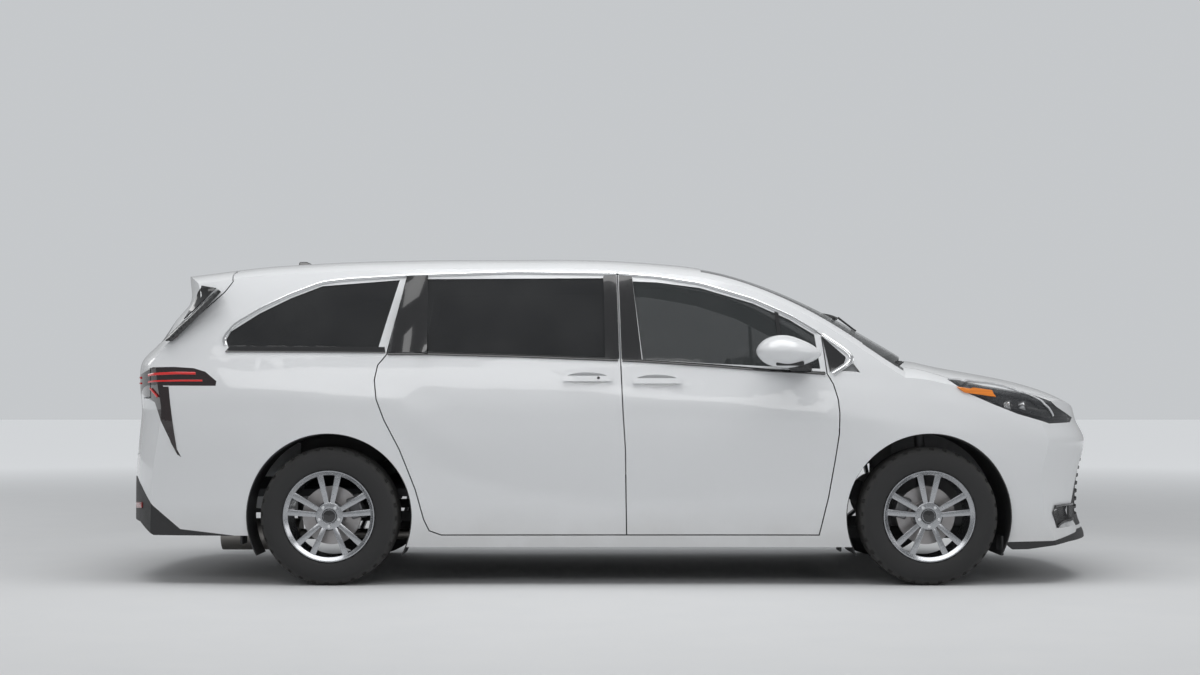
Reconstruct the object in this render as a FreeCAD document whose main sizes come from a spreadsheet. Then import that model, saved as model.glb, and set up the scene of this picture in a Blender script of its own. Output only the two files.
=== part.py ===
import FreeCAD, Part
import Sketcher
import math
import os
import re
from FreeCAD import Vector

# Minivan, seen in its own frame: nose along +X, left side along +Y, roof along +Z,
# origin on the floor under the middle of its box. All sizes are millimetres.

SIZES = (
    ("wheelbase", 3060.0), ("front_overhang", 973.0), ("rear_overhang", 1141.0),
    ("half_width", 995.0), ("roof_height", 1714.0), ("underside_height", 178.0),
    ("half_track", 862.0), ("tyre_radius", 353.0), ("tyre_width", 232.0), ("tyre_shoulder", 26.0),
    ("rim_radius", 233.0), ("rim_wall", 9.0), ("rim_seat", 218.0), ("rim_lip", 7.0),
    ("hub_radius", 76.0), ("hub_cap_radius", 30.0), ("spoke_width", 22.0), ("spoke_depth", 24.0),
    ("spoke_inset", 30.0), ("disc_radius", 150.0), ("disc_thickness", 26.0), ("hub_bore", 16.0),
    ("arch_radius", 423.0), ("liner_wall", 5.0), ("liner_inner_y", 560.0),
    ("crease_rise", 7.0), ("crease_width", 55.0), ("scoop_depth", 11.0), ("flare_rise", 9.0),
    ("shut_gap", 6.0), ("tailgate_gap", 12.0), ("fit_gap", 0.3),
    ("skin_wall", 10.0), ("shell_wall", 40.0), ("door_wall", 95.0), ("frame_wall", 46.0),
    ("glass_wall", 5.0), ("glass_inset", 9.0), ("lamp_wall", 38.0),
    ("door_flange", 135.0), ("hinge_pin_radius", 8.0), ("hinge_barrel_radius", 15.0),
    ("hinge_barrel_length", 60.0), ("hinge_arm_reach", 150.0),
    ("bonnet_pin_radius", 5.0), ("bonnet_hinge_y", 764.0), ("bonnet_hinge_width", 18.0), ("screen_gap", 24.0), ("gate_pin_radius", 4.0), ("gate_hinge_y", 200.0), ("gate_hinge_width", 20.0), ("overrun", 400.0),
    ("floor_thickness", 40.0), ("floor_height", 290.0), ("load_floor_rise", 130.0),
    ("sill_inner", 750.0), ("sill_width", 110.0), ("pillar_depth", 50.0), ("rail_depth", 105.0),
    ("bulkhead_wall", 30.0), ("engine_length", 620.0), ("engine_width", 760.0), ("engine_height", 520.0),
    ("arm_thickness", 34.0), ("beam_radius", 45.0), ("knuckle_radius", 58.0), ("knuckle_width", 60.0),
    ("kingpin_radius", 15.0), ("exhaust_radius", 28.0), ("silencer_radius", 85.0),
    ("tank_height", 150.0), ("tank_length", 900.0), ("tank_width", 620.0),
    ("steering_wheel_radius", 185.0), ("steering_rim_radius", 15.0), ("column_radius", 22.0), ("column_length", 260.0),
    ("steering_x", 610.0), ("seat_y", 390.0), ("dash_width", 1400.0),
    ("dash_depth", 420.0), ("dash_height", 330.0),
    ("seat_width", 520.0), ("cushion_length", 500.0), ("cushion_height", 150.0),
    ("backrest_height", 600.0), ("backrest_thickness", 120.0), ("headrest_height", 150.0),
    ("headrest_width", 260.0), ("headrest_gap", 25.0), ("headrest_post", 120.0), ("console_width", 220.0), ("seat_base_width", 400.0), ("seat_base_height", 140.0),
    ("bench_width", 1180.0), ("mirror_width", 210.0), ("mirror_height", 170.0), ("mirror_depth", 110.0),
    ("mirror_arm", 70.0), ("grille_bars", 9.0), ("grille_ribs", 5.0), ("grille_rib", 12.0),
    ("recess_depth", 18.0), ("handle_length", 246.0), ("handle_depth", 20.0), ("handle_height", 28.0),
    ("handle_dish", 22.0), ("handle_stand", 16.0),
    ("mud_flap_wall", 6.0), ("mud_flap_width", 260.0), ("wiper_radius", 7.0), ("wiper_length", 620.0),
    ("frame_depth", 60.0), ("roof_wall", 30.0), ("roller_height", 30.0), ("jack_pad", 60.0), ("jack_pad_thickness", 12.0), ("plate_hole", 6.0), ("plate_spacing", 305.0),
)

doc = FreeCAD.newDocument("Minivan")
sheet = doc.addObject("Spreadsheet::Sheet", "Sizes")
for row, (name, value) in enumerate(SIZES, start=1):
    sheet.set("A%d" % row, name)
    sheet.set("B%d" % row, str(value))
    sheet.setAlias("B%d" % row, name)
doc.recompute()


def mm(name):
    return float(sheet.get(name))


def mm_count(name):
    return round(mm(name))


FRONT_AXLE = (mm("wheelbase") + mm("rear_overhang") - mm("front_overhang")) / 2
REAR_AXLE = FRONT_AXLE - mm("wheelbase")
NODES = []


def at_x(share):
    """Length position: 0 is the rear axle, 1 the front axle, 2 the nose and -1 the tail."""
    if share > 1:
        return FRONT_AXLE + (share - 1) * mm("front_overhang")
    if share < 0:
        return REAR_AXLE + share * mm("rear_overhang")
    return REAR_AXLE + share * mm("wheelbase")


def at_z(share):
    return share * mm("roof_height")


def at_y(share):
    return share * mm("half_width")


def share_of(x):
    """The length share of a position: the inverse of at_x."""
    if x > FRONT_AXLE:
        return 1 + (x - FRONT_AXLE) / mm("front_overhang")
    if x < REAR_AXLE:
        return (x - REAR_AXLE) / mm("rear_overhang")
    return (x - REAR_AXLE) / mm("wheelbase")


def evenly(low, high, count):
    return [low + (high - low) * step / (count - 1) for step in range(count)]


def slope_at(table, index):
    """A slope that keeps a curve through a table of points from overshooting."""
    if index in (0, len(table) - 1):
        return 0.0
    (x0, y0), (x1, y1), (x2, y2) = table[index - 1:index + 2]
    before, after = (y1 - y0) / (x1 - x0), (y2 - y1) / (x2 - x1)
    if before * after <= 0:
        return 0.0
    return 2 * before * after / (before + after)


def blend(table, place):
    """The value of a smooth curve through a table of (place, value) shares."""
    if place <= table[0][0]:
        return table[0][1]
    for index in range(len(table) - 1):
        (x0, y0), (x1, y1) = table[index:index + 2]
        if place <= x1:
            span = x1 - x0
            part = (place - x0) / span
            lead, trail = slope_at(table, index) * span, slope_at(table, index + 1) * span
            square, cube = part ** 2, part ** 3
            return (y0 * (2 * cube - 3 * square + 1) + lead * (cube - 2 * square + part) +
                    y1 * (3 * square - 2 * cube) + trail * (cube - square))
    return table[-1][1]


# Body skin: the side, the nose, the tail, the roof with the windscreen, and the bonnet
belt_shares = ((-1.2, 0.70), (-0.43, 0.694), (0.10, 0.690), (0.45, 0.673), (0.83, 0.631), (1.1, 0.600),
               (1.5, 0.560), (2.1, 0.500))
taper_shares = ((-1.2, 0.80), (-1.0, 0.87), (-0.7, 0.945), (-0.35, 0.984), (0.0, 0.998), (0.35, 0.990),
                (0.65, 0.988), (0.95, 0.997), (1.1, 0.996), (1.35, 0.97), (1.6, 0.925), (1.85, 0.865),
                (2.1, 0.79))
# creases of the side: their height along the car, and how far they stand out
shoulder_line_shares = ((0.30, 0.590), (0.49, 0.571), (0.674, 0.5455), (0.845, 0.512), (1.1, 0.480))
shoulder_rise_shares = ((0.36, 0.0), (0.52, 1.0), (0.85, 1.0), (1.02, 0.0))
haunch_line_shares = ((-0.60, 0.600), (-0.48, 0.594), (0.08, 0.556), (0.20, 0.45), (0.28, 0.32))
haunch_rise_shares = ((-0.62, 0.0), (-0.40, 0.9), (0.0, 1.0), (0.14, 0.9), (0.30, 0.0))
scoop_line_shares = ((0.10, 0.40), (0.25, 0.300), (0.50, 0.245), (0.80, 0.275), (0.92, 0.36))
scoop_rise_shares = ((0.08, 0.0), (0.25, 1.0), (0.58, 1.0), (0.78, 0.0))
# height as a share of the belt line's height, half width as a share of the widest
side_profile_shares = ((0.06, 0.875), (0.12, 0.925), (0.19, 0.957), (0.27, 0.964), (0.36, 0.967),
                       (0.45, 0.974), (0.54, 0.985), (0.62, 0.995), (0.70, 0.999), (0.77, 0.997),
                       (0.83, 0.989), (0.88, 0.979), (0.94, 0.962), (1.0, 0.943))
lean_level_shares = (0.04, 0.14, 0.30, 0.50, 0.70, 0.88, 1.02, 1.15)
lean_share, lean_curve_share = 0.30, 0.38
tail_profile_shares = ((0.05, -1.0), (0.18, -1.0), (0.30, -0.999), (0.40, -0.991), (0.47, -0.978),
                       (0.53, -0.972), (0.60, -0.981), (0.64, -0.98), (0.675, -0.967), (0.69, -0.950),
                       (0.72, -0.900), (0.80, -0.812), (0.85, -0.755), (0.875, -0.727), (0.895, -0.726),
                       (0.908, -0.742), (0.925, -0.748), (0.95, -0.745), (1.05, -0.74))
nose_profile_shares = ((0.05, 1.975), (0.12, 1.985), (0.14, 1.990), (0.16, 1.975), (0.20, 1.955),
                       (0.25, 1.955), (0.32, 1.965), (0.38, 1.985), (0.42, 1.998), (0.45, 1.985),
                       (0.48, 1.955), (0.505, 1.945), (0.53, 1.93), (0.57, 1.92), (0.62, 1.91),
                       (0.75, 1.89), (1.05, 1.86))
roof_profile_shares = ((-1.2, 0.915), (-1.0, 0.927), (-0.8, 0.940), (-0.6, 0.955), (-0.4, 0.972),
                       (-0.2, 0.982), (0.0, 0.990), (0.2, 0.998), (0.4, 0.999), (0.5, 0.993),
                       (0.6, 0.978), (0.65, 0.964), (0.70, 0.941), (0.75, 0.911), (0.80, 0.875),
                       (0.85, 0.833), (0.90, 0.787), (0.95, 0.737), (1.0, 0.684), (1.05, 0.635), (1.1, 0.59))
bonnet_profile_shares = ((0.75, 0.715), (0.85, 0.700), (0.95, 0.683), (1.05, 0.668), (1.15, 0.656),
                         (1.3, 0.641), (1.5, 0.620), (1.65, 0.598), (1.75, 0.578), (1.85, 0.548),
                         (1.92, 0.517), (1.97, 0.480), (2.05, 0.42))
side_stations, side_levels, top_stations, end_levels, cross_points = 37, 33, 20, 22, 15
cross_reach, top_reach, top_points, roll_end = 1.12, 1.5, 31, 1.08
roof_crown, roof_roll = 0.020, 0.028
bonnet_crown, bonnet_roll = 0.018, 0.040
screen_bend_shares = ((0.60, 0.0), (0.80, 0.022), (0.90, 0.045), (0.96, 0.055), (1.1, 0.055))
bonnet_fold_share, bonnet_fold_reach_share, bonnet_fold_drop_share = 0.50, 0.17, 0.0045
nose_plan_share, tail_plan_share = 0.46, 0.305


def side_width(share, z):
    """Half width of the body at a station and a height: a waisted side, then the lean of the glass."""
    belt = at_z(blend(belt_shares, share))
    taper = at_y(blend(taper_shares, share))
    if z <= belt:
        return taper * blend(side_profile_shares, z / belt) + relief(share, z)
    rise = z - belt
    return taper * side_profile_shares[-1][1] - rise * (lean_share + lean_curve_share * rise / at_z(1))


def ridge(away, above, below):
    """A soft crease: 1 on its line, falling off over one distance above it and another below."""
    return math.exp(-(away / (above if away > 0 else below)) ** 2)


def relief(share, z):
    """How far the creases, the lower door's hollow and the arches' flares move the side in or out."""
    out = mm("crease_rise") * blend(shoulder_rise_shares, share) * ridge(
        z - at_z(blend(shoulder_line_shares, share)), mm("crease_width") * 0.7, mm("crease_width") * 1.6)
    out += mm("crease_rise") * blend(haunch_rise_shares, share) * ridge(
        z - at_z(blend(haunch_line_shares, share)), mm("crease_width"), mm("crease_width") * 2)
    out -= mm("scoop_depth") * blend(scoop_rise_shares, share) * ridge(
        z - at_z(blend(scoop_line_shares, share)), mm("crease_width") * 1.8, mm("crease_width"))
    for axle in (FRONT_AXLE, REAR_AXLE):
        reach = math.hypot(at_x(share) - axle, z - mm("tyre_radius")) - mm("arch_radius")
        out += mm("flare_rise") * ridge(reach, mm("crease_width") * 1.4, mm("overrun"))
    return out


def spline_face(rows):
    skin = Part.BSplineSurface()
    skin.interpolate(rows)
    return skin.toShape()


def side_face(offset):
    """The left side of the body, moved inwards by an offset."""
    rows = []
    for x in evenly(at_x(-1.2), at_x(2.1), side_stations):
        heights = evenly(at_z(0.05), at_z(1.06), side_levels)
        rows.append([Vector(x, side_width(share_of(x), z) - offset, z) for z in heights])
    return spline_face(rows)


def rolled(part):
    """How far a top has rolled over: late and fast at its edge, then straight on."""
    if part < roll_end:
        return part ** 8
    return roll_end ** 8 + 8 * roll_end ** 7 * (part - roll_end)


def top_face(profile, crown, roll, offset, fold=0.0):
    """A crowned top: its profile along the middle, falling to its edges past a fold on each side."""
    rows = []
    for x in evenly(at_x(profile[0][0]), at_x(profile[-1][0]), top_stations):
        share = share_of(x)
        bend = 0.0 if fold else blend(screen_bend_shares, share)
        edge = side_width(share, at_z(blend(profile, share + bend) - crown - roll - fold))
        row = []
        for part in evenly(-top_reach, top_reach, top_points):
            z = at_z(blend(profile, share + bend * min(abs(part), 1.1) ** 2))
            step = 1 - ridge(abs(part) - bonnet_fold_share, bonnet_fold_reach_share, 2 * top_reach)
            drop = at_z(crown * part ** 2 + roll * rolled(abs(part)) + fold * step)
            row.append(Vector(x, edge * part, z - drop - offset))
        rows.append(row)
    return spline_face(rows)


def bonnet_face(offset):
    return top_face(bonnet_profile_shares, bonnet_crown, bonnet_roll, offset, bonnet_fold_drop_share)


def end_face(profile, bend, offset):
    """The nose or the tail: its profile along the middle, swept back to its sides."""
    rows = []
    for z in evenly(at_z(profile[0][0]), at_z(profile[-1][0]), end_levels):
        middle = at_x(blend(profile, z / at_z(1))) - offset
        row = []
        for part in evenly(-cross_reach, cross_reach, cross_points):
            row.append(Vector(middle - bend * mm("half_width") * abs(part) ** 3, at_y(part), z))
        rows.append(row)
    return spline_face(rows)


def side_prism(points, low=0.0, high=None):
    """A side-view outline, in shares, as a solid from one distance off the middle to another."""
    corners = [Vector(at_x(a), low, at_z(b)) for a, b in points]
    return Part.Face(Part.makePolygon(corners + corners[:1])).extrude(Vector(0, (high or wide_y()) - low, 0))


def wide_y():
    return mm("half_width") + mm("overrun")


def grown(points, gap):
    """A side-view outline moved outwards by a gap, or inwards by a negative one."""
    corners = [Vector(at_x(a), 0, at_z(b)) for a, b in points]
    wire = Part.makePolygon(corners + corners[:1])
    return wire.makeOffset2D(gap, 2)


def wire_prism(wire, low=0.0, high=None):
    face = Part.Face(wire)
    face.translate(Vector(0, low, 0))
    return face.extrude(Vector(0, (high or wide_y()) - low, 0))


def mirrored(shape):
    return shape.mirror(Vector(0, 0, 0), Vector(0, 1, 0))


def keep(label, shape):
    """One sub-part of the body: its solid, or its solids that don't touch."""
    item = doc.addObject("Part::Feature", label)
    item.Label = label
    item.Shape = shape if len(shape.Solids) != 1 else shape.Solids[0]
    item.Placement = FreeCAD.Placement()
    NODES.append(item)
    return item


def both(name, shape):
    keep(name + "_left", shape)
    keep(name + "_right", mirrored(shape))


# Side-view outlines, as shares along and up
rail_shares = ((0.06, 0.905), (0.30, 0.922), (0.50, 0.918), (0.56, 0.905), (0.64, 0.880), (0.72, 0.835),
               (0.79, 0.772), (0.86, 0.690), (0.89, 0.70), (0.80, 0.815), (0.72, 0.872), (0.64, 0.918),
               (0.56, 0.945), (0.40, 0.965), (0.06, 0.955))
middle_line_shares = ((0.481, 0.934), (0.486, 0.673), (0.490, 0.514), (0.494, 0.403), (0.496, 0.150))
door_front_shares = ((0.817, 0.150), (0.832, 0.261), (0.842, 0.367), (0.849, 0.451), (0.850, 0.514),
                     (0.848, 0.554), (0.841, 0.599), (0.831, 0.631), (0.824, 0.747))
front_top_shares = ((0.776, 0.805), (0.711, 0.857), (0.621, 0.906), (0.548, 0.924))
slide_rear_shares = ((0.187, 0.150), (0.167, 0.163), (0.158, 0.196), (0.144, 0.286), (0.118, 0.406),
                     (0.093, 0.492), (0.080, 0.554), (0.076, 0.611), (0.081, 0.656), (0.095, 0.687),
                     (0.126, 0.929), (0.307, 0.940))
front_glass_shares = ((0.507, 0.912), (0.548, 0.909), (0.621, 0.892), (0.710, 0.844), (0.770, 0.795),
                      (0.812, 0.748), (0.820, 0.645), (0.646, 0.660), (0.523, 0.673))
slide_glass_shares = ((0.140, 0.918), (0.462, 0.922), (0.466, 0.677), (0.110, 0.695))
quarter_glass_shares = ((-0.455, 0.702), (-0.471, 0.733), (-0.452, 0.757), (-0.327, 0.812), (-0.188, 0.859),
                        (-0.049, 0.896), (0.112, 0.915), (0.080, 0.700))
tail_lamp_shares = ((-1.2, 0.600), (-0.90, 0.632), (-0.804, 0.650), (-0.704, 0.651), (-0.611, 0.647),
                    (-0.557, 0.636), (-0.504, 0.608), (-0.507, 0.594), (-0.750, 0.595), (-0.724, 0.452),
                    (-0.664, 0.381), (-0.684, 0.390), (-0.798, 0.545), (-0.893, 0.568), (-1.2, 0.580))
headlamp_shares = ((1.108, 0.615), (1.189, 0.577), (1.338, 0.540), (1.474, 0.510), (1.656, 0.481),
                   (1.82, 0.483), (1.85, 0.497), (1.722, 0.530), (1.676, 0.548), (1.541, 0.575),
                   (1.406, 0.596), (1.271, 0.607))
tailgate_seam_shares = ((-0.470, 1.05), (-0.470, 0.934), (-0.461, 0.911), (-0.495, 0.878), (-0.749, 0.719),
                        (-0.826, 0.652), (-0.826, 0.560))
tailgate_foot_share, tailgate_half_share, lamp_inner_share = 0.385, 0.70, 0.42
intake_shares = ((1.70, 0.165), (1.685, 0.215), (1.76, 0.232), (2.2, 0.232), (2.2, 0.165))
plate_shares = ((0.0, 0.520), (0.30, 0.520), (0.27, 0.425), (0.0, 0.425))
rear_bumper_top_shares = ((-0.294, 0.372), (-0.357, 0.401), (-0.415, 0.415), (-0.648, 0.427), (-0.690, 0.470),
                          (-0.790, 0.552), (-0.860, 0.556), (-1.2, 0.556))
bumper_foot_shares = ((-1.2, 0.317), (-0.924, 0.317), (-0.879, 0.290), (-0.800, 0.235), (-0.674, 0.166),
                      (-0.428, 0.148), (-0.28, 0.148))
bumper_seam_shares = ((1.454, 0.509), (1.282, 0.415))
fender_top_rear_shares = ((0.838, 0.636), (0.876, 0.661), (0.886, 0.676), (0.896, 0.726))
sill_foot_share, sill_top_share = 0.114, 0.146
step_top_share, header_share, cowl_half_share = 0.19, 0.625, 0.76


def overlap(outline, thick, outer=0.0):
    """A band of the left skin, from one depth to another, inside a side-view outline."""
    return side_face(outer).extrude(Vector(0, outer - thick, 0)).common(outline)


def axle_cylinder(axle, radius, low, high):
    centre = Vector(axle, low, mm("tyre_radius"))
    return Part.makeCylinder(radius, high - low, centre, Vector(0, 1, 0))


UNDER = {}


def under(depth):
    """Everything inboard of the left skin moved in by a depth."""
    if depth not in UNDER:
        UNDER[depth] = side_face(depth).extrude(Vector(0, -3 * mm("half_width"), 0))
    return UNDER[depth]


front_door_shares = door_front_shares + front_top_shares + middle_line_shares
slide_door_shares = slide_rear_shares + middle_line_shares
HINGE_X = at_x(0.806)
HINGE_Y = at_y(0.940)
BONNET_PIN = Vector(at_x(0.943), 0, at_z(0.645))
GATE_PIN = Vector(at_x(-0.481), 0, at_z(0.958))
HINGE_LEVELS = (at_z(0.245), at_z(0.475))
waist_shares = ((-0.1, 0.668), (0.45, 0.650), (0.84, 0.612), (0.9, 0.612), (0.9, 1.0), (-0.1, 1.0))
AXLE_UP = mm("tyre_radius")


def box(low, high):
    sizes = [b - a for a, b in zip(low, high)]
    return Part.makeBox(sizes[0], sizes[1], sizes[2], Vector(*low))


def hinge_pin(grow, ends):
    """The pins of the left front door's two hinges, thicker and longer by the given amounts."""
    pins = []
    for level in HINGE_LEVELS:
        base = Vector(HINGE_X, HINGE_Y, level - ends)
        pins.append(Part.makeCylinder(mm("hinge_pin_radius") + grow, mm("hinge_barrel_length") + 2 * ends, base))
    return pins


def door_leaf(outline, glass, wall_front):
    """A door: a deep box up to the waist, a slimmer frame round its window, and an edge flange."""
    leaf = overlap(wire_prism(grown(outline, -mm("shut_gap") / 2)), mm("door_wall"))
    leaf = leaf.cut(side_prism(waist_shares).common(under(mm("frame_wall"))))
    if wall_front:
        ahead = box((wall_front, 0, 0), (wall_front + mm("wheelbase"), wide_y(), at_z(1)))
        leaf = leaf.cut(ahead.common(under(mm("skin_wall"))))
    return leaf.cut(side_prism(glass))


def glass_pane(outline):
    """A pane almost flush in its opening, with a thin joint all round."""
    pane = wire_prism(grown(outline, -mm("fit_gap")))
    return overlap(pane, mm("glass_inset"), mm("glass_inset") - mm("glass_wall"))


def handled(leaf, share, level):
    """A door with a dished recess and a pull that bridges it on two feet."""
    x, z, long, tall = at_x(share), at_z(level), mm("handle_length"), mm("handle_height")
    y = side_width(share, z)
    dish = Part.makeSphere(1)
    grow = FreeCAD.Matrix()
    grow.scale(long * 0.46, mm("handle_dish"), tall * 1.25)
    dish = dish.transformGeometry(grow)
    dish.translate(Vector(x, y, z))
    leaf = leaf.cut(dish)

    def plate(half_x, half_z, thick, outer, offset=0.0):
        corners = ((x + offset - half_x, z - half_z), (x + offset + half_x, z - half_z),
                   (x + offset + half_x, z + half_z), (x + offset - half_x, z + half_z))
        wire = Part.makePolygon([Vector(a, 0, b) for a, b in corners + corners[:1]])
        return overlap(wire_prism(wire), thick, outer)

    pull = plate(long / 2, tall / 2, -mm("handle_stand") + mm("handle_depth") / 2, -mm("handle_stand"))
    for end in (-1, 1):
        foot = plate(tall / 2, tall / 2 - mm("fit_gap"), mm("skin_wall"), -mm("handle_stand") + mm("fit_gap"),
                     end * (long - tall) / 2)
        pull = pull.fuse(foot)
    return leaf.fuse(pull)


def front_door():
    barrel = mm("hinge_barrel_radius")
    wall = HINGE_X - barrel - mm("shut_gap")
    leaf = door_leaf(front_door_shares, front_glass_shares, wall)
    for level in HINGE_LEVELS:
        tall = mm("hinge_barrel_length")
        eye = Part.makeCylinder(barrel, tall, Vector(HINGE_X, HINGE_Y, level))
        strap = box((wall - barrel, HINGE_Y - barrel, level), (HINGE_X, HINGE_Y, level + tall))
        leaf = leaf.fuse(eye.fuse(strap))
    for pin in hinge_pin(mm("fit_gap"), mm("overrun") / 4):
        leaf = leaf.cut(pin)
    both("front_door", handled(leaf, 0.547, 0.609))
    both("front_door_glass", glass_pane(front_glass_shares))


def slide_door():
    """A sliding door with the roller carrier that rides over the sill's step."""
    leaf = door_leaf(slide_door_shares, slide_glass_shares, None)
    step = at_z(step_top_share) + mm("fit_gap")
    roller = box((at_x(0.44), at_y(0.835), step), (at_x(0.465), at_y(0.875), step + mm("roller_height")))
    both("sliding_door", handled(leaf.fuse(roller), 0.431, 0.616))


def fixed_glass():
    panes = [glass_pane(quarter_glass_shares), glass_pane(slide_glass_shares)]
    panes += [mirrored(pane) for pane in panes]
    keep("fixed_side_glass", Part.makeCompound(panes))


def side_frame():
    """Quarter panel, cant rail, pillars and sill of one side, as one pressing with its inner beams."""
    gap = mm("shut_gap") / 2
    foot, top = sill_foot_share, sill_top_share
    border = ((0.862, foot), (0.862, top), (0.80, top), (0.80, 0.60), (0.838, 0.636)) + \
        fender_top_rear_shares[1:] + ((0.96, 0.80), (0.70, 1.05)) + tailgate_seam_shares + \
        rear_bumper_top_shares[:-1][::-1] + (bumper_foot_shares[-1], (-0.28, foot))
    frame = overlap(side_prism(border), mm("frame_depth"))
    for outline in (front_door_shares, slide_door_shares):
        frame = frame.cut(wire_prism(grown(outline, gap)))
    frame = frame.cut(side_prism(quarter_glass_shares)).cut(side_prism(tail_lamp_shares))
    frame = frame.cut(ROOF_ABOVE)
    inner_side = mm("door_wall") + mm("shut_gap")
    inner_top = mm("frame_wall") + mm("shut_gap")
    deep = inner_side + mm("sill_width")
    low = mm("sill_inner")
    sill = overlap(side_prism(((0.145, foot), (0.858, foot), (0.858, top - 0.003), (0.145, top - 0.003)), low),
                   deep, mm("shell_wall"))
    step = overlap(side_prism(((0.145, foot), (0.858, foot), (0.858, step_top_share), (0.145, step_top_share)), low),
                   deep, inner_side)
    middle = overlap(side_prism(((0.468, foot), (0.508, foot), (0.502, 0.668), (0.470, 0.668))),
                     inner_side + mm("pillar_depth"), inner_side)
    upper = overlap(side_prism(((0.470, 0.656), (0.502, 0.656), (0.498, 0.95), (0.468, 0.95))),
                    inner_side + mm("pillar_depth") / 2, inner_top)
    rail = overlap(side_prism(rail_shares), mm("rail_depth"), inner_top)
    front = overlap(side_prism(((0.856, foot), (0.884, foot), (0.884, 0.70), (0.856, 0.70)), low), deep,
                    mm("pillar_depth"))
    inner = sill
    for part in (step, middle, upper, rail, front):
        inner = inner.fuse(part)
    frame = frame.fuse(inner.cut(above(mm("roof_wall") + mm("fit_gap"))))
    for axle in (REAR_AXLE, FRONT_AXLE):
        frame = frame.cut(axle_cylinder(axle, mm("arch_radius"), 0, wide_y()))
    frame = frame.cut(GATE_ROOM)
    frame = max(frame.Solids, key=lambda solid: solid.Volume)
    tall, pin = mm("hinge_barrel_length"), mm("hinge_pin_radius")
    for level in HINGE_LEVELS:
        low, high = level + tall + mm("shut_gap"), level + tall + mm("shut_gap") + pin
        inward = HINGE_Y - mm("hinge_arm_reach")
        arm = box((HINGE_X - pin, inward, low), (HINGE_X + pin, HINGE_Y, high))
        arm = arm.fuse(box((HINGE_X - pin, inward, low), (at_x(0.866), inward + 2 * pin, high)))
        post = Part.makeCylinder(pin, high - level, Vector(HINGE_X, HINGE_Y, level))
        frame = frame.fuse(arm.fuse(post))
    both("side_frame", frame)


def above(offset=0.0):
    """All the space over the roof and the windscreen."""
    roof = top_face(roof_profile_shares, roof_crown, roof_roll, offset)
    return roof.extrude(Vector(0, 0, at_z(1)))


ROOF_ABOVE = above()


def roof_panel():
    skin = top_face(roof_profile_shares, roof_crown, roof_roll, 0).extrude(Vector(0, 0, -mm("roof_wall")))
    side = under(mm("frame_depth") + mm("fit_gap"))
    area = side_prism(((header_share, 0.5), (header_share, 1.05), (-0.46, 1.05), (-0.46, 0.5)), -wide_y())
    panel = skin.common(area).common(side).common(mirrored(side))
    for arm, room, pin, hole in gate_hinges():
        panel = panel.fuse(arm.fuse(pin))
    keep("roof_panel", panel)


def gate_hinges():
    """Each tailgate hinge: the roof's arm, the room around it, its pin and the pin's hole."""
    pin, long = mm("gate_pin_radius"), mm("gate_hinge_width")
    hinges = []
    for middle in (-mm("gate_hinge_y"), mm("gate_hinge_y")):
        half = long / 2
        arm = box((GATE_PIN.x - 1.2 * pin, middle - half, GATE_PIN.z - 8 * pin),
                  (GATE_PIN.x + 1.2 * pin, middle + half, GATE_PIN.z))
        arm = arm.fuse(box((GATE_PIN.x - 1.2 * pin, middle - half, GATE_PIN.z - 8 * pin),
                           (at_x(-0.44), middle + half, GATE_PIN.z - 4 * pin)))
        gap = mm("shut_gap")
        room = box((GATE_PIN.x - gap - pin, middle - half - gap, at_z(0.8)),
                   (at_x(-0.46), middle + half + gap, GATE_PIN.z + 2 * pin))
        start = Vector(GATE_PIN.x, middle - 2 * long, GATE_PIN.z)
        shaft = Part.makeCylinder(pin, 4 * long, start, Vector(0, 1, 0))
        hole = Part.makeCylinder(pin + mm("fit_gap"), 4 * long + gap, start - Vector(0, gap / 2, 0), Vector(0, 1, 0))
        hinges.append((arm, room, shaft, hole))
    return hinges


def windscreen():
    """The bent screen, from the roof's header down to just above the cowl."""
    face = top_face(roof_profile_shares, roof_crown, roof_roll, mm("glass_inset") - mm("glass_wall"))
    skin = face.extrude(Vector(0, 0, -2 * mm("glass_wall")))
    side = under(mm("frame_depth") + mm("fit_gap"))
    start = header_share + mm("fit_gap") / mm("wheelbase")
    area = side_prism(((start, 0.5), (start, 1.05), (1.06, 1.05), (1.06, 0.5)), -wide_y())
    pane = skin.common(area).common(side).common(mirrored(side))
    base = bonnet_face(-mm("fit_gap"))
    pane = pane.cut(base.extrude(Vector(0, 0, -at_z(1))))
    pane = pane.cut(plan_prism(bonnet_plan_shares, at_z(0.36), at_z(1), mm("screen_gap")))
    keep("windscreen", max(pane.Solids, key=lambda solid: solid.Volume))


# Plan-view and rear-view outlines, as shares of the length and the half width
bonnet_plan_shares = ((1.00, 0.0), (0.994, 0.30), (0.976, 0.62), (0.958, 0.80), (1.01, 0.845), (1.12, 0.868),
                      (1.30, 0.870), (1.50, 0.835), (1.66, 0.765), (1.78, 0.66), (1.87, 0.50), (1.93, 0.28),
                      (1.95, 0.0))
grille_front_shares = ((0.0, 0.40), (0.36, 0.40), (0.52, 0.372), (0.66, 0.22), (0.62, 0.165), (0.0, 0.165))
glass_rear_shares = ((0.0, 0.865), (0.50, 0.858), (0.60, 0.845), (0.695, 0.745), (0.66, 0.728), (0.0, 0.722))


def plan_prism(points, low, high, gap):
    corners = [Vector(at_x(a), at_y(b), low) for a, b in points]
    corners += [Vector(at_x(a), -at_y(b), low) for a, b in points[::-1] if b]
    wire = Part.makePolygon(corners + corners[:1]).makeOffset2D(gap, 2)
    return Part.Face(wire).extrude(Vector(0, 0, high - low))


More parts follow.
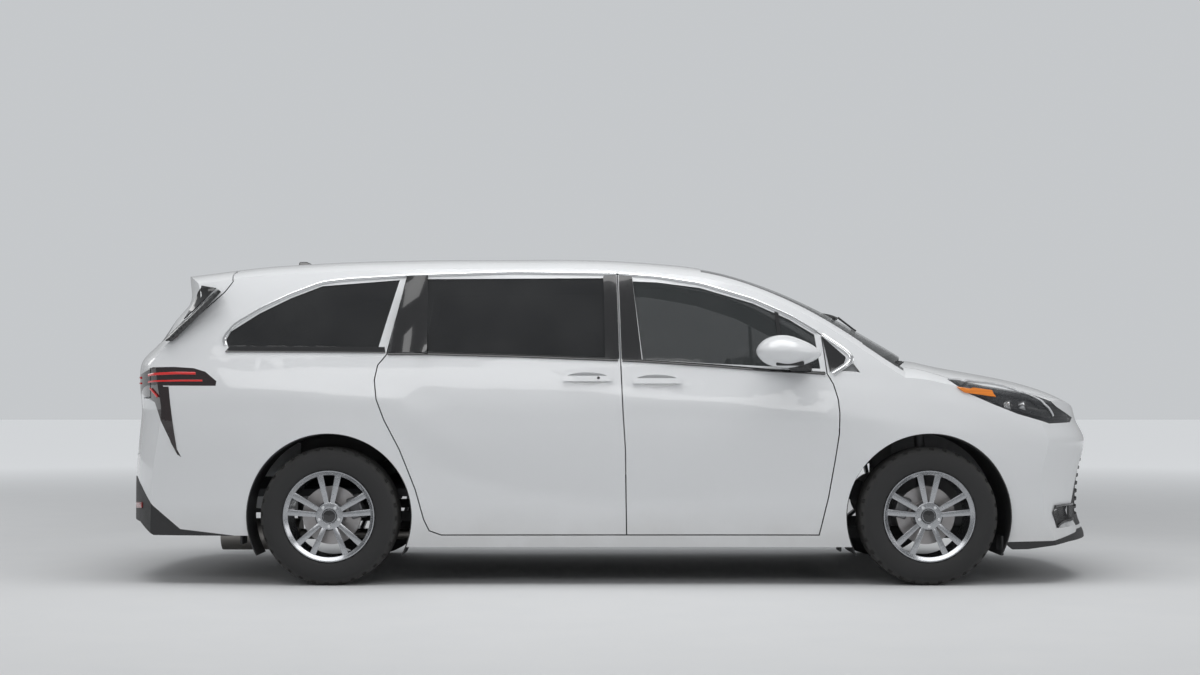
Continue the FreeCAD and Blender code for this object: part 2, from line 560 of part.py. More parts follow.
def front_prism(points, low, high, gap=0.0):
    """A front-view outline, mirrored about the middle, as a solid along the length."""
    corners = [Vector(low, at_y(a), at_z(b)) for a, b in points]
    corners += [Vector(low, -at_y(a), at_z(b)) for a, b in points[::-1] if a]
    wire = Part.makePolygon(corners + corners[:1])
    if gap:
        wire = wire.makeOffset2D(gap, 2)
    return Part.Face(wire).extrude(Vector(high - low, 0, 0))


HULLS = {}


def hull_end(offset, front):
    """One end of the whole body as a closed form, shrunk by an offset."""
    if (offset, front) in HULLS:
        return HULLS[offset, front]
    side = under(offset)
    wide = at_y(1.04)
    if front:
        block = box((at_x(0.80), -wide, at_z(0.07)), (at_x(2.06), wide, at_z(0.80)))
        end = end_face(nose_profile_shares, nose_plan_share, offset).extrude(Vector(-mm("wheelbase"), 0, 0))
        top = bonnet_face(offset)
    else:
        block = box((at_x(-1.15), -wide, at_z(0.07)), (at_x(-0.05), wide, at_z(1.02)))
        end = end_face(tail_profile_shares, -tail_plan_share, -offset).extrude(Vector(mm("wheelbase"), 0, 0))
        top = top_face(roof_profile_shares, roof_crown, roof_roll, offset)
    form = block.common(side).common(mirrored(side)).common(end)
    HULLS[offset, front] = form.common(top.extrude(Vector(0, 0, -1.2 * at_z(1))))
    return HULLS[offset, front]


def biggest(shape):
    """The main solid of a cut, without the crumbs its trimming left."""
    rest = sorted(shape.Solids, key=lambda solid: solid.Volume)
    print("crumbs", [round(solid.Volume / 1000) for solid in rest[:-1]])
    return rest[-1]


def bonnet_and_front():
    """Bonnet, headlamps, fenders, bumper, grille and the valance, all cut from the front hull's shell."""
    outer, inner = hull_end(0.0, True), hull_end(mm("shell_wall"), True)
    shell = outer.cut(inner)
    gap = mm("shut_gap")
    levels = at_z(0.36), at_z(0.8)
    lip = gap / 2 + 2 * mm("skin_wall")
    seam = plan_prism(bonnet_plan_shares, *levels, lip).cut(plan_prism(bonnet_plan_shares, *levels, -lip))
    seam = seam.common(hull_end(mm("skin_wall"), True))
    arm, pin, hole, pocket = bonnet_hinge()
    bonnet = shell.common(plan_prism(bonnet_plan_shares, *levels, -gap / 2)).cut(seam)
    keep("bonnet", biggest(bonnet.fuse(arm).fuse(mirrored(arm)).cut(hole).cut(mirrored(hole))))
    round_lid = plan_prism(bonnet_plan_shares, *levels, gap / 2).fuse(seam)
    lamps = side_prism(headlamp_shares)
    lamps = lamps.fuse(mirrored(lamps))
    keep("headlamps", outer.cut(hull_end(2 * mm("shell_wall"), True)).common(lamps).cut(round_lid))
    rest = shell.cut(round_lid).cut(lamps)
    rest = rest.cut(axle_cylinder(FRONT_AXLE, mm("arch_radius"), -wide_y(), wide_y()))
    seam_top, seam_foot = bumper_seam_shares
    area = side_prism(((0.80, 0.60), (0.838, 0.636)) + fender_top_rear_shares[1:] + (
        (0.96, 0.80), (1.50, 0.80), seam_top, seam_foot, (1.25, sill_foot_share), (0.862, sill_foot_share),
        (0.862, sill_top_share), (0.80, sill_top_share)), at_y(cowl_half_share))
    fender = rest.common(area).cut(wire_prism(grown(front_door_shares, gap / 2)))
    edge = box((0, 0, 0), (at_x(0.885), wide_y(), at_z(1))).common(under(gap))
    crest = overlap(side_prism(fender_top_rear_shares[1:] + ((0.96, 0.80), (0.965, 0.60), (0.90, 0.60))),
                    mm("pillar_depth") - mm("fit_gap")).cut(ROOF_ABOVE)
    both("fender", biggest(fender.cut(edge).cut(pocket).fuse(crest).fuse(pin)))
    nose_area = (seam_foot, seam_top, (1.50, 0.80), (2.2, 0.80), (2.2, 0.155), (1.86, 0.155),
                 (1.849, 0.147), (1.672, 0.129), (1.40, 0.128), (1.25, sill_foot_share))
    bumper = rest.common(side_prism(nose_area, -wide_y()))
    bumper = bumper.cut(front_prism(grille_front_shares, at_x(1.6), at_x(2.2)))
    face = outer.cut(hull_end(mm("recess_depth"), True))
    intake = side_prism(intake_shares, at_y(0.70))
    bumper = bumper.cut(face.common(intake.fuse(mirrored(intake))))
    keep("front_bumper", biggest(bumper))
    grille = shell.common(front_prism(grille_front_shares, at_x(1.6), at_x(2.2), -mm("fit_gap")))
    keep("grille", grille.cut(Part.makeCompound(grille_slots())))
    foot = ((1.40, 0.128), (1.672, 0.129), (1.849, 0.147), (1.86, 0.155), (2.2, 0.155), (2.2, 0.13), (1.785, 0.122),
            (1.711, 0.117), (1.535, 0.105), (1.45, 0.105))
    keep("front_valance", biggest(rest.common(side_prism(foot, -wide_y()))))


def bonnet_hinge():
    """The left hinge of the bonnet: arm with eye, the fender's pin, the pin's hole and the pocket round them."""
    low, wide, pin = mm("bonnet_hinge_y"), mm("bonnet_hinge_width"), mm("bonnet_pin_radius")
    x, z, along = BONNET_PIN.x, BONNET_PIN.z, Vector(0, 1, 0)
    arm = Part.makeCylinder(2.2 * pin, wide, Vector(x, low, z), along)
    arm = arm.fuse(box((x, low, z - 4.4 * pin), (at_x(0.975), low + wide, z - 0.8 * pin)))
    post = Part.makeCylinder(pin, 2 * wide, Vector(x, low, z), along)
    hole = Part.makeCylinder(pin + mm("fit_gap"), 4 * wide, Vector(x, low - wide, z), along)
    pocket = box((x - 4 * mm("shut_gap"), low - wide, z - 8 * pin),
                 (at_x(0.965), low + wide + mm("shut_gap"), at_z(1)))
    return arm, post, hole, pocket


def grille_slots():
    """The openings between the grille's bars, in columns between its upright ribs."""
    slots = []
    levels = evenly(at_z(0.19), at_z(0.385), mm_count("grille_bars"))
    pitch = levels[1] - levels[0]
    for low in levels[:-1]:
        wide = at_y(0.60) - abs(low - at_z(0.22)) * 0.25
        columns = evenly(-wide, wide, mm_count("grille_ribs"))
        for left, right in zip(columns, columns[1:]):
            slots.append(box((at_x(1.6), left + mm("grille_rib") / 2, low + mm("grille_rib")),
                             (at_x(2.2), right - mm("grille_rib") / 2, low + pitch)))
    return slots


def gate_prism(gap):
    """The room of the tailgate: its upper outline from the side and a wide block below."""
    upper = ((-1.3, 0.556),) + tailgate_seam_shares[::-1][:-1] + ((-0.470, 1.05), (-1.3, 1.05))
    wide = at_y(tailgate_half_share) + gap
    low = box((at_x(-1.3), -wide, at_z(tailgate_foot_share) - gap), (at_x(-0.826) + gap, wide, at_z(0.60)))
    return wire_prism(grown(upper, gap), -wide_y()).fuse(low)


GATE_ROOM = gate_prism(mm("shut_gap") / 2)


def tail_end():
    """Tailgate with its glass and lamps, the lamps beside it, the rear bumper and its valance."""
    outer, inner = hull_end(0.0, False), hull_end(mm("shell_wall"), False)
    shell = outer.cut(inner)
    gate_area = gate_prism(-mm("shut_gap") / 2)
    window = front_prism(glass_rear_shares, at_x(-1.3), at_x(-0.55))
    lamps = side_prism(tail_lamp_shares, at_y(lamp_inner_share))
    lamps = lamps.fuse(mirrored(lamps))
    gate = shell.common(gate_area).cut(window).cut(lamps)
    gate = gate.cut(box((at_x(-0.55), -wide_y(), 0), (at_x(0), wide_y(), at_z(0.80))))
    face = outer.cut(hull_end(mm("recess_depth"), False))
    gate = gate.cut(face.common(front_prism(plate_shares, at_x(-1.3), at_x(-0.60))))
    for arm, room, pin, hole in gate_hinges():
        gate = gate.cut(room).cut(hole)
    keep("tailgate", biggest(gate))
    glass = mm("glass_inset") - mm("glass_wall")
    pane = end_face(tail_profile_shares, -tail_plan_share, -glass).extrude(Vector(mm("glass_wall"), 0, 0))
    keep("tailgate_glass", pane.common(front_prism(glass_rear_shares, at_x(-1.3), at_x(-0.60), -mm("fit_gap"))))
    lamp = shell.common(side_prism(tail_lamp_shares, at_y(lamp_inner_share))).cut(GATE_ROOM)
    both("tail_lamp", biggest(lamp))
    keep("tailgate_lamps", shell.common(lamps).common(gate_area))
    bumper = shell.common(side_prism(rear_bumper_top_shares + bumper_foot_shares, -wide_y())).cut(GATE_ROOM)
    bumper = bumper.cut(lamps).cut(axle_cylinder(REAR_AXLE, mm("arch_radius"), -wide_y(), wide_y()))
    keep("rear_bumper", biggest(bumper))
    foot = bumper_foot_shares[:-1] + ((-0.43, 0.147), (-0.80, 0.147), (-0.894, 0.182), (-1.2, 0.19))
    keep("rear_valance", biggest(shell.common(side_prism(foot, -wide_y())).cut(
        axle_cylinder(REAR_AXLE, mm("arch_radius"), -wide_y(), wide_y()))))


# Pieces of plain form: turned, padded and boxed, all bound to the named sizes
FRONT = "((wheelbase + rear_overhang - front_overhang) / 2)"
REAR = "((rear_overhang - front_overhang - wheelbase) / 2)"
probe = doc.addObject("App::FeaturePython", "Probe")
probe.addProperty("App::PropertyFloat", "result")


def formula(text):
    """A formula of size names as the document writes it."""
    return re.sub(r"\b([a-z]+_[a-z_]+|wheelbase)\b", r"Sizes.\1", str(text))


def worth(text):
    probe.setExpression("result", formula(text))
    probe.recompute()
    return probe.result


def solid_body(label):
    body = doc.addObject("PartDesign::Body", label)
    body.Label = label
    doc.recompute()
    return body


def sketch_on(body, role, corners):
    """A closed outline on one of the body's planes, its corners bound to formulas."""
    plane = [item for item in body.Origin.OriginFeatures if item.Role == role][0]
    sketch = body.newObject("Sketcher::SketchObject", body.Label + "_outline")
    sketch.AttachmentSupport = [(plane, "")]
    sketch.MapMode = "FlatFace"
    places = [(worth(a), worth(b)) for a, b in corners]
    for (a, b), (c, d) in zip(places, places[1:] + places[:1]):
        sketch.addGeometry(Part.LineSegment(Vector(a, b, 0), Vector(c, d, 0)), False)
    for index in range(len(corners)):
        sketch.addConstraint(Sketcher.Constraint("Coincident", index, 2, (index + 1) % len(corners), 1))
    for index, corner in enumerate(corners):
        for kind, text in zip(("DistanceX", "DistanceY"), corner):
            number = sketch.addConstraint(Sketcher.Constraint(kind, -1, 1, index, 1, worth(text)))
            sketch.setExpression("Constraints[%d]" % number, formula(text))
    return sketch


def turned(label, corners):
    """A ring turned about the Y axis from (along Y, radius) corners."""
    body = solid_body(label)
    turn = body.newObject("PartDesign::Revolution", label + "_turn")
    turn.Profile = sketch_on(body, "YZ_Plane", corners)
    turn.ReferenceAxis = (turn.Profile[0], ["H_Axis"])
    turn.Angle = 360
    return body


def padded(label, corners, width):
    """A side-view outline padded both ways from the middle plane."""
    body = solid_body(label)
    pad = body.newObject("PartDesign::Pad", label + "_pad")
    pad.Profile = sketch_on(body, "XZ_Plane", corners)
    pad.Midplane = True
    pad.setExpression("Length", formula(width))
    return body


def boxed(label, low, high):
    """A block between two corners given as formulas."""
    block = doc.addObject("Part::Box", label)
    block.Label = label
    for name, axis, a, b in zip(("Length", "Width", "Height"), "xyz", low, high):
        block.setExpression(name, formula("(%s) - (%s)" % (b, a)))
        block.setExpression("Placement.Base." + axis, formula(a))
    return block


def rod(label, radius, length, base, turn=(1, 0, 0, 0)):
    """A cylinder with its base at a place, turned from upright about an axis by an angle."""
    bar = doc.addObject("Part::Cylinder", label)
    bar.Label = label
    bar.setExpression("Radius", formula(radius))
    bar.setExpression("Height", formula(length))
    bar.Placement = FreeCAD.Placement(Vector(0, 0, 0), FreeCAD.Rotation(Vector(*turn[:3]), turn[3]))
    for axis, text in zip("xyz", base):
        bar.setExpression("Placement.Base." + axis, formula(text))
    return bar


def joined(label, pieces):
    whole = doc.addObject("Part::MultiFuse", label)
    whole.Label = label
    whole.Shapes = pieces
    return whole


def less(label, base, tool):
    rest = doc.addObject("Part::Cut", label)
    rest.Label = label
    rest.Base, rest.Tool = base, tool
    return rest


def handed(label, piece):
    """The same piece on the other side of the car."""
    twin = doc.addObject("Part::Mirroring", label)
    twin.Label = label
    twin.Source = piece
    twin.Normal = Vector(0, 1, 0)
    return twin


def grouped(label, pieces):
    group = doc.addObject("Part::Compound", label)
    group.Label = label
    group.Links = pieces
    return group


def node(piece):
    NODES.append(piece)


ALONG_Y = (1, 0, 0, -90)
ALONG_X = (0, 1, 0, 90)
DOWN_COLUMN = (0, 1, 0, 115)
WHEEL_PLACE = ("steering_x", "seat_y", "roof_height * 0.585")


def wheels():
    """Tyre and rim at each corner, with the disc brake's rotor on the rim's hub."""
    edge = "tyre_width * 0.46"
    for where, axle in (("front", FRONT), ("rear", REAR)):
        for side, sign, turn in (("left", "", 0), ("right", "-", 180)):
            name = where + "_" + side
            tyre = turned("tyre_" + name, (
                ("-tyre_width * 0.47", "rim_radius + fit_gap"),
                ("-tyre_width / 2", "rim_radius + (tyre_radius - rim_radius) * 0.4"),
                ("-tyre_width * 0.475", "tyre_radius - tyre_shoulder"), ("-tyre_width * 0.36", "tyre_radius"),
                ("tyre_width * 0.36", "tyre_radius"), ("tyre_width * 0.475", "tyre_radius - tyre_shoulder"),
                ("tyre_width / 2", "rim_radius + (tyre_radius - rim_radius) * 0.4"),
                ("tyre_width * 0.47", "rim_radius + fit_gap")))
            barrel = turned("rim_barrel_" + name, (
                ("-" + edge, "rim_radius"), ("-%s + rim_lip" % edge, "rim_radius"),
                ("-%s + rim_lip * 2" % edge, "rim_seat"), ("%s - rim_lip * 2" % edge, "rim_seat"),
                ("%s - rim_lip" % edge, "rim_radius"), (edge, "rim_radius"), (edge, "rim_seat"),
                ("%s - spoke_inset" % edge, "rim_seat - rim_wall"), ("-%s + rim_lip" % edge, "rim_seat - rim_wall"),
                ("-" + edge, "rim_seat")))
            hub = turned("rim_hub_" + name, (
                ("-disc_thickness", "hub_bore + fit_gap"),
                ("%s - spoke_inset - spoke_depth" % edge, "hub_bore + fit_gap"),
                ("%s - spoke_inset" % edge, "0"), ("%s - spoke_inset" % edge, "hub_radius"),
                ("%s - spoke_inset - spoke_depth" % edge, "hub_radius"), ("0", "hub_radius"),
                ("0", "disc_radius"), ("-disc_thickness", "disc_radius")))
            whole = joined("rim_" + name, [barrel, hub] + rim_spokes(name, edge))
            for piece in (tyre, whole):
                piece.Placement = FreeCAD.Placement(Vector(0, 0, 0), FreeCAD.Rotation(Vector(0, 0, 1), turn))
                piece.setExpression("Placement.Base.x", formula(axle))
                piece.setExpression("Placement.Base.y", formula(sign + "half_track"))
                piece.setExpression("Placement.Base.z", formula("tyre_radius"))
                node(piece)


def rim_spokes(name, edge):
    """Five pairs of flat spokes that spread from the hub to the rim."""
    spokes = []
    for count in range(10):
        angle = 72 * (count // 2) + (13 if count % 2 else -13)
        bar = doc.addObject("Part::Box", "spoke_%s_%d" % (name, count))
        bar.setExpression("Length", formula("rim_seat - rim_wall / 2 - hub_radius * 0.7"))
        bar.setExpression("Width", formula("spoke_depth"))
        bar.setExpression("Height", formula("spoke_width"))
        turn = FreeCAD.Rotation(Vector(0, 1, 0), angle)
        start = turn.multVec(Vector(mm("hub_radius") * 0.7, 0, -mm("spoke_width") / 2))
        depth = worth("%s - spoke_inset - spoke_depth" % edge)
        bar.Placement = FreeCAD.Placement(start + Vector(0, depth, 0), turn)
        spokes.append(bar)
    return spokes


KINGPIN_FOOT = Vector(FRONT_AXLE, 775, 250)
KINGPIN_HEAD = Vector(FRONT_AXLE, 650, 880)


def knuckles():
    """The front knuckle with its spindle and strut, which all turn about the leaning kingpin line."""
    line = (KINGPIN_HEAD - KINGPIN_FOOT).normalize()
    centre = Vector(FRONT_AXLE, 0, AXLE_UP)
    pin = mm("kingpin_radius")
    at_axle = KINGPIN_FOOT + line * ((AXLE_UP - KINGPIN_FOOT.z) / line.z)
    carrier = Part.makeCylinder(mm("knuckle_radius"), mm("knuckle_width"),
                                Vector(FRONT_AXLE, at_axle.y - mm("knuckle_width") / 2, AXLE_UP), Vector(0, 1, 0))
    reach = mm("half_track") + worth("tyre_width * 0.46 - spoke_inset - spoke_depth") * 0.9
    spindle = Part.makeCylinder(mm("hub_bore"), reach - at_axle.y, Vector(FRONT_AXLE, at_axle.y, AXLE_UP), Vector(0, 1, 0))
    lower = Part.makeCylinder(pin * 2, 60, KINGPIN_FOOT + line * 22, line)
    strut = Part.makeCylinder(26, (KINGPIN_HEAD - KINGPIN_FOOT).Length - 150, KINGPIN_FOOT + line * 140, line)
    whole = carrier.fuse(lower).fuse(strut).fuse(spindle)
    socket = Part.makeCylinder(pin + mm("fit_gap"), 60, KINGPIN_FOOT - line * 5, line)
    return whole.cut(socket)


def front_suspension():
    """The cross member and rails under the engine, with a wishbone and ball pin to each knuckle."""
    line = (KINGPIN_HEAD - KINGPIN_FOOT).normalize()
    cross = box((FRONT_AXLE - 100, -430, 200), (FRONT_AXLE + 100, 430, 262))
    parts = [cross]
    for sign in (1, -1):
        low, high = sorted((sign * 380, sign * 430))
        parts.append(box((at_x(0.8595), low, 200), (at_x(1.75), high, 262)))
        low, high = sorted((sign * 425, sign * 790))
        parts.append(box((FRONT_AXLE - 32, low, 205), (FRONT_AXLE + 32, high, 238)))
        pin = Part.makeCylinder(mm("kingpin_radius"), 70, KINGPIN_FOOT - line * 18, line)
        parts.append(pin if sign > 0 else mirrored(pin))
    whole = parts[0]
    for part in parts[1:]:
        whole = whole.fuse(part)
    return whole


def underbody():
    """Floor, bulkhead, engine, tank, exhaust and rear axle."""
    low_end, step_x = "%s - 900" % REAR, "%s + 505" % REAR
    pan = boxed("pan", (step_x, "-sill_inner", "floor_height - floor_thickness"),
                ("%s - 430" % FRONT, "sill_inner", "floor_height"))
    rise = boxed("pan_riser", (step_x, "-sill_inner + 50", "floor_height - floor_thickness"),
                 ("%s + floor_thickness" % step_x, "sill_inner - 50", "floor_height + load_floor_rise + 60"))
    deck = boxed("load_deck", (low_end, "-sill_inner + 50", "floor_height + load_floor_rise + 60 - floor_thickness"),
                 ("%s + floor_thickness" % step_x, "sill_inner - 50", "floor_height + load_floor_rise + 60"))
    node(joined("floor_pan", [pan, rise, deck]))
    node(boxed("bulkhead", ("%s - 430 - bulkhead_wall" % FRONT, "-sill_inner", "floor_height"),
               ("%s - 430" % FRONT, "sill_inner", "roof_height * 0.62")))
    node(boxed("engine_block", ("%s - 100" % FRONT, "-engine_width / 2 - 15", "262"),
               ("%s - 100 + engine_length" % FRONT, "engine_width / 2 + 15", "262 + engine_height")))
    node(boxed("radiator", ("%s + 600" % FRONT, "-410", "262"), ("%s + 650" % FRONT, "410", "700")))
    node(boxed("fuel_tank", ("-tank_length + 100", "-tank_width / 2", "floor_height - floor_thickness - tank_height * 0.7"),
               ("100", "tank_width / 2", "floor_height - floor_thickness")))
    pipe = rod("tail_pipe", "exhaust_radius", "2700", ("-1900", "-420", "floor_height - floor_thickness - exhaust_radius"), ALONG_X)
    can = rod("silencer", "silencer_radius", "420", ("%s - 650" % REAR, "-420", "floor_height - floor_thickness - exhaust_radius"), ALONG_X)
    node(joined("exhaust", [pipe, can]))
    beam = rod("axle_beam", "beam_radius", "1380", (REAR, "-690", "tyre_radius - 30"), ALONG_Y)
    pins = rod("axle_pins", "hub_bore", "2 * half_track + 50", (REAR, "-half_track - 25", "tyre_radius"), ALONG_Y)
    arms = [boxed("trailing_arm" + side, (REAR, low, "tyre_radius - 50"), (step_x, high, "tyre_radius"))
            for side, low, high in (("_left", "520", "575"), ("_right", "-575", "-520"))]
    coils = [rod("rear_coil" + side, "50", "floor_height + load_floor_rise + 60 - floor_thickness - tyre_radius",
                 (REAR, place, "tyre_radius"), (0, 0, 1, 0)) for side, place in (("_left", "450"), ("_right", "-450"))]
    node(joined("rear_suspension", [beam, pins] + arms + coils))


def seat(name, x, floor, width, places):
    """A seat in side view, base, cushion and leaning back, with a headrest on a post for each place."""
    base = "(%s)" % floor
    top = "(%s + seat_base_height)" % base
    back = "(%s - cushion_length - backrest_thickness)" % x
    crest = "(%s + cushion_height + backrest_height)" % top
    form = padded(name + "_form", (
        ("%s - cushion_length * 0.9" % x, base), ("%s - cushion_length * 0.15" % x, base),
        ("%s - cushion_length * 0.1" % x, top), (x, "%s + cushion_height * 0.3" % top),
        (x, "%s + cushion_height * 0.9" % top),
        ("%s - cushion_length + backrest_thickness * 0.6" % x, "%s + cushion_height" % top),
        ("%s + backrest_thickness * 0.1" % back, crest), ("%s - backrest_thickness * 0.8" % back, crest),
        ("%s - cushion_length - backrest_thickness * 0.4" % x, top)), width)
    pieces = [form]
    for count, place in enumerate(places):
        rest = padded("%s_rest_%d" % (name, count), (
            ("%s + backrest_thickness * 0.05" % back, crest + " + headrest_gap"),
            ("%s - backrest_thickness * 0.05" % back, crest + " + headrest_height"),
            ("%s - backrest_thickness * 0.85" % back, crest + " + headrest_height"),
            ("%s - backrest_thickness * 0.75" % back, crest + " + headrest_gap")), "headrest_width")
        rest.setExpression("Placement.Base.y", formula(place))
        post = boxed("%s_post_%d" % (name, count), (
            "%s - backrest_thickness * 0.5" % back, "%s - headrest_post / 2" % place, crest + " - headrest_gap"),
            ("%s - backrest_thickness * 0.3" % back, "%s + headrest_post / 2" % place, crest + " + headrest_gap * 2"))
        pieces += [rest, post]
    return joined(name, pieces)


def cabin():
    """Dashboard, steering wheel and three rows of seats."""
    wall = "(%s - 430 - bulkhead_wall)" % FRONT
    dash = padded("dash_form", (
        (wall, "roof_height * 0.40"), (wall, "roof_height * 0.615"), ("%s - dash_depth * 0.25" % wall, "roof_height * 0.63"),
        ("%s - dash_depth * 0.9" % wall, "roof_height * 0.615"), ("%s - dash_depth" % wall, "roof_height * 0.59"),
        ("%s - dash_depth * 0.75" % wall, "roof_height * 0.49"), ("%s - dash_depth * 0.45" % wall, "roof_height * 0.40")),
        "dash_width")
    bore = rod("column_bore", "column_radius + fit_gap", "column_length + fit_gap", WHEEL_PLACE, DOWN_COLUMN)
    node(less("dashboard", dash, bore))
    for row, x, floor in (("front_seats", "480", "floor_height"), ("middle_seats", "-%s" % "330", "floor_height")):
        left = seat(row + "_left_form", x, floor, "seat_width", ("0",))
        left.setExpression("Placement.Base.y", formula("seat_y"))
        node(grouped(row, [left, handed(row + "_right_form", left)]))
    thirds = ("-bench_width / 3", "0", "bench_width / 3")
    node(seat("rear_bench", "%s + 250" % REAR, "floor_height + load_floor_rise + 60", "bench_width", thirds))
    node(padded("centre_console", (
        ("40", "floor_height"), ("%s - dash_depth * 0.3" % wall, "floor_height"),
        ("%s - dash_depth * 0.3" % wall, "roof_height * 0.39"), ("%s - dash_depth * 0.75" % wall, "roof_height * 0.38"),
        ("%s - dash_depth * 1.1" % wall, "roof_height * 0.335"), ("420", "roof_height * 0.325"),
        ("400", "roof_height * 0.365"), ("60", "roof_height * 0.365"), ("40", "roof_height * 0.33")), "console_width"))
    ring = doc.addObject("Part::Torus", "steering_ring")
    ring.setExpression("Radius1", formula("steering_wheel_radius"))
    ring.setExpression("Radius2", formula("steering_rim_radius"))
    spoke = boxed("steering_spoke", ("-steering_wheel_radius", "-column_radius", "-steering_rim_radius / 2"),
                  ("steering_wheel_radius", "column_radius", "steering_rim_radius / 2"))
    boss = rod("steering_boss", "column_radius * 2.4", "column_radius * 1.6", ("0", "0", "0"), (0, 1, 0, 180))
    column = rod("steering_column", "column_radius", "column_length", ("0", "0", "0"), (0, 1, 0, 180))
    wheel = joined("steering_wheel", [ring, spoke, boss, column])
    wheel.Placement = FreeCAD.Placement(Vector(*map(worth, WHEEL_PLACE)), FreeCAD.Rotation(Vector(0, 1, 0), -65))
    node(wheel)


def trims():
    """Wheel arch liners with mud flaps, the cowl with its wipers, and the door mirrors."""
    liners = []
    for axle, low in ((FRONT_AXLE, mm("liner_inner_y")), (REAR_AXLE, mm("sill_inner") - 34)):
        radius = mm("arch_radius") - mm("fit_gap")
        outer = axle_cylinder(axle, radius, low, at_y(0.96))
        inner = axle_cylinder(axle, radius - mm("liner_wall"), low - 10, at_y(1.2))
        ring = outer.cut(inner).common(box((axle - 500, 0, AXLE_UP - 200), (axle + 500, wide_y(), 1000)))
        liners.append(ring)
    line = (KINGPIN_HEAD - KINGPIN_FOOT).normalize()
    liners[0] = liners[0].cut(Part.makeCylinder(mm("kingpin_radius") * 2.4, mm("engine_width"), KINGPIN_FOOT, line))
    liners += [mirrored(item) for item in liners]
    keep("wheel_liners", Part.makeCompound(liners))


def mirror_shell():
    """A door mirror: a rounded cap on a short arm at the window's front corner."""
    centre = Vector(at_x(0.765), at_y(0.925) + mm("mirror_arm") + mm("mirror_width") / 2, at_z(0.695))
    ball = Part.makeSphere(1)
    grow = FreeCAD.Matrix()
    grow.scale(mm("mirror_depth"), mm("mirror_width") / 2 * 1.12, mm("mirror_height") / 2 * 1.1)
    cap = ball.transformGeometry(grow)
    cap.translate(centre)
    cap = cap.common(box((centre.x - mm("mirror_depth") * 0.35, 0, 0), (4000, 4000, 4000)))
    arm = box((at_x(0.772), at_y(0.925) - 5, at_z(0.620)), (at_x(0.800), centre.y, at_z(0.662)))
    arm = arm.cut(under(-mm("fit_gap")))
    return cap.fuse(arm)


def cowl():
    """The strip behind the bonnet, which rises under the foot of the windscreen."""
    area = side_prism(((0.875, 0.5), (0.875, 0.80), (1.02, 0.80), (1.02, 0.5)),
                      mm("fit_gap") - mm("sill_inner"), mm("sill_inner") - mm("fit_gap"))
    levels = at_z(0.36), at_z(0.8)
    lid = plan_prism(bonnet_plan_shares, *levels, mm("shut_gap"))
    near, far = [plan_prism(bonnet_plan_shares, *levels, mm("screen_gap") * times) for times in (1.1, 2.5)]
    flat = bonnet_face(mm("fit_gap") * 3).extrude(Vector(0, 0, -mm("screen_gap"))).common(area)
    under_screen = mm("glass_inset") + mm("glass_wall") + mm("fit_gap")
    top = top_face(roof_profile_shares, roof_crown, roof_roll, under_screen).extrude(Vector(0, 0, -at_z(1)))
    foot = bonnet_face(mm("screen_gap")).extrude(Vector(0, 0, at_z(1)))
    rise = far.cut(near).common(area).common(top).common(foot)
    keep("cowl_panel", biggest(flat.cut(lid).fuse(rise)))


for build in (wheels, underbody, cabin, trims, cowl):
    build()
both("front_knuckle", knuckles())
keep("front_suspension", front_suspension())
both("door_mirror", mirror_shell())

for step in (front_door, slide_door, fixed_glass, roof_panel, windscreen, bonnet_and_front, tail_end, side_frame):
    step()

doc.recompute()
os.makedirs("parts", exist_ok=True)
for item in NODES:
    shape = item.Shape
    if shape.isNull() or not shape.isValid() or {"Invalid", "Error"} & set(item.State):
        raise ValueError("bad shape: " + item.Label)
    print(item.Label, len(shape.Solids), round(shape.Volume / 1e6, 2))
    shape.exportStep("parts/" + item.Label + ".step")
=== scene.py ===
# %% [markdown]
# # A pearl white minivan, seen from its right side
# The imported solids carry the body's form. This lesson gives each of them a procedural finish and adds the
# small pieces a photograph shows: window trims, wheels, lamps, mirrors and the cabin's upholstery.
# Lengths are metres in the car's frame: nose along +X, left side +Y, up +Z.

# %%
import bpy
import bmesh
import math
import numpy
from mathutils import Matrix, Vector
from mathutils.bvhtree import BVHTree


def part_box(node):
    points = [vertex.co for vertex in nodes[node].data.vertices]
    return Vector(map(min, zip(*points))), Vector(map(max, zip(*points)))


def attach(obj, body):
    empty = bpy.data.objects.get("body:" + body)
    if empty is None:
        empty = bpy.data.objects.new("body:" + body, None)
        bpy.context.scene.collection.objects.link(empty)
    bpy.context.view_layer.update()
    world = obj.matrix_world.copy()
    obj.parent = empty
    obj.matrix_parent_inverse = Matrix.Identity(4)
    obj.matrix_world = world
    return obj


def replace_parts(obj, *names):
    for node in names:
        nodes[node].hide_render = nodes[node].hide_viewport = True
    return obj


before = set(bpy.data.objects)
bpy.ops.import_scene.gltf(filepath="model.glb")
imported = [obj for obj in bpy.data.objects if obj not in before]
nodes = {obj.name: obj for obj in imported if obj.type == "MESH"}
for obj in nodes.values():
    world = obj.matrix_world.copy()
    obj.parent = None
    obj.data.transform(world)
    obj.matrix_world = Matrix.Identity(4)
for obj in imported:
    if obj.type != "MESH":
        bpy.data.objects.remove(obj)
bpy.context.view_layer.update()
SIDES = ((1, "left"), (-1, "right"))
print("nodes", len(nodes))

# %% [markdown]
# ## Shader maths
# A socket wrapper: arithmetic between sockets and numbers adds the Math nodes.

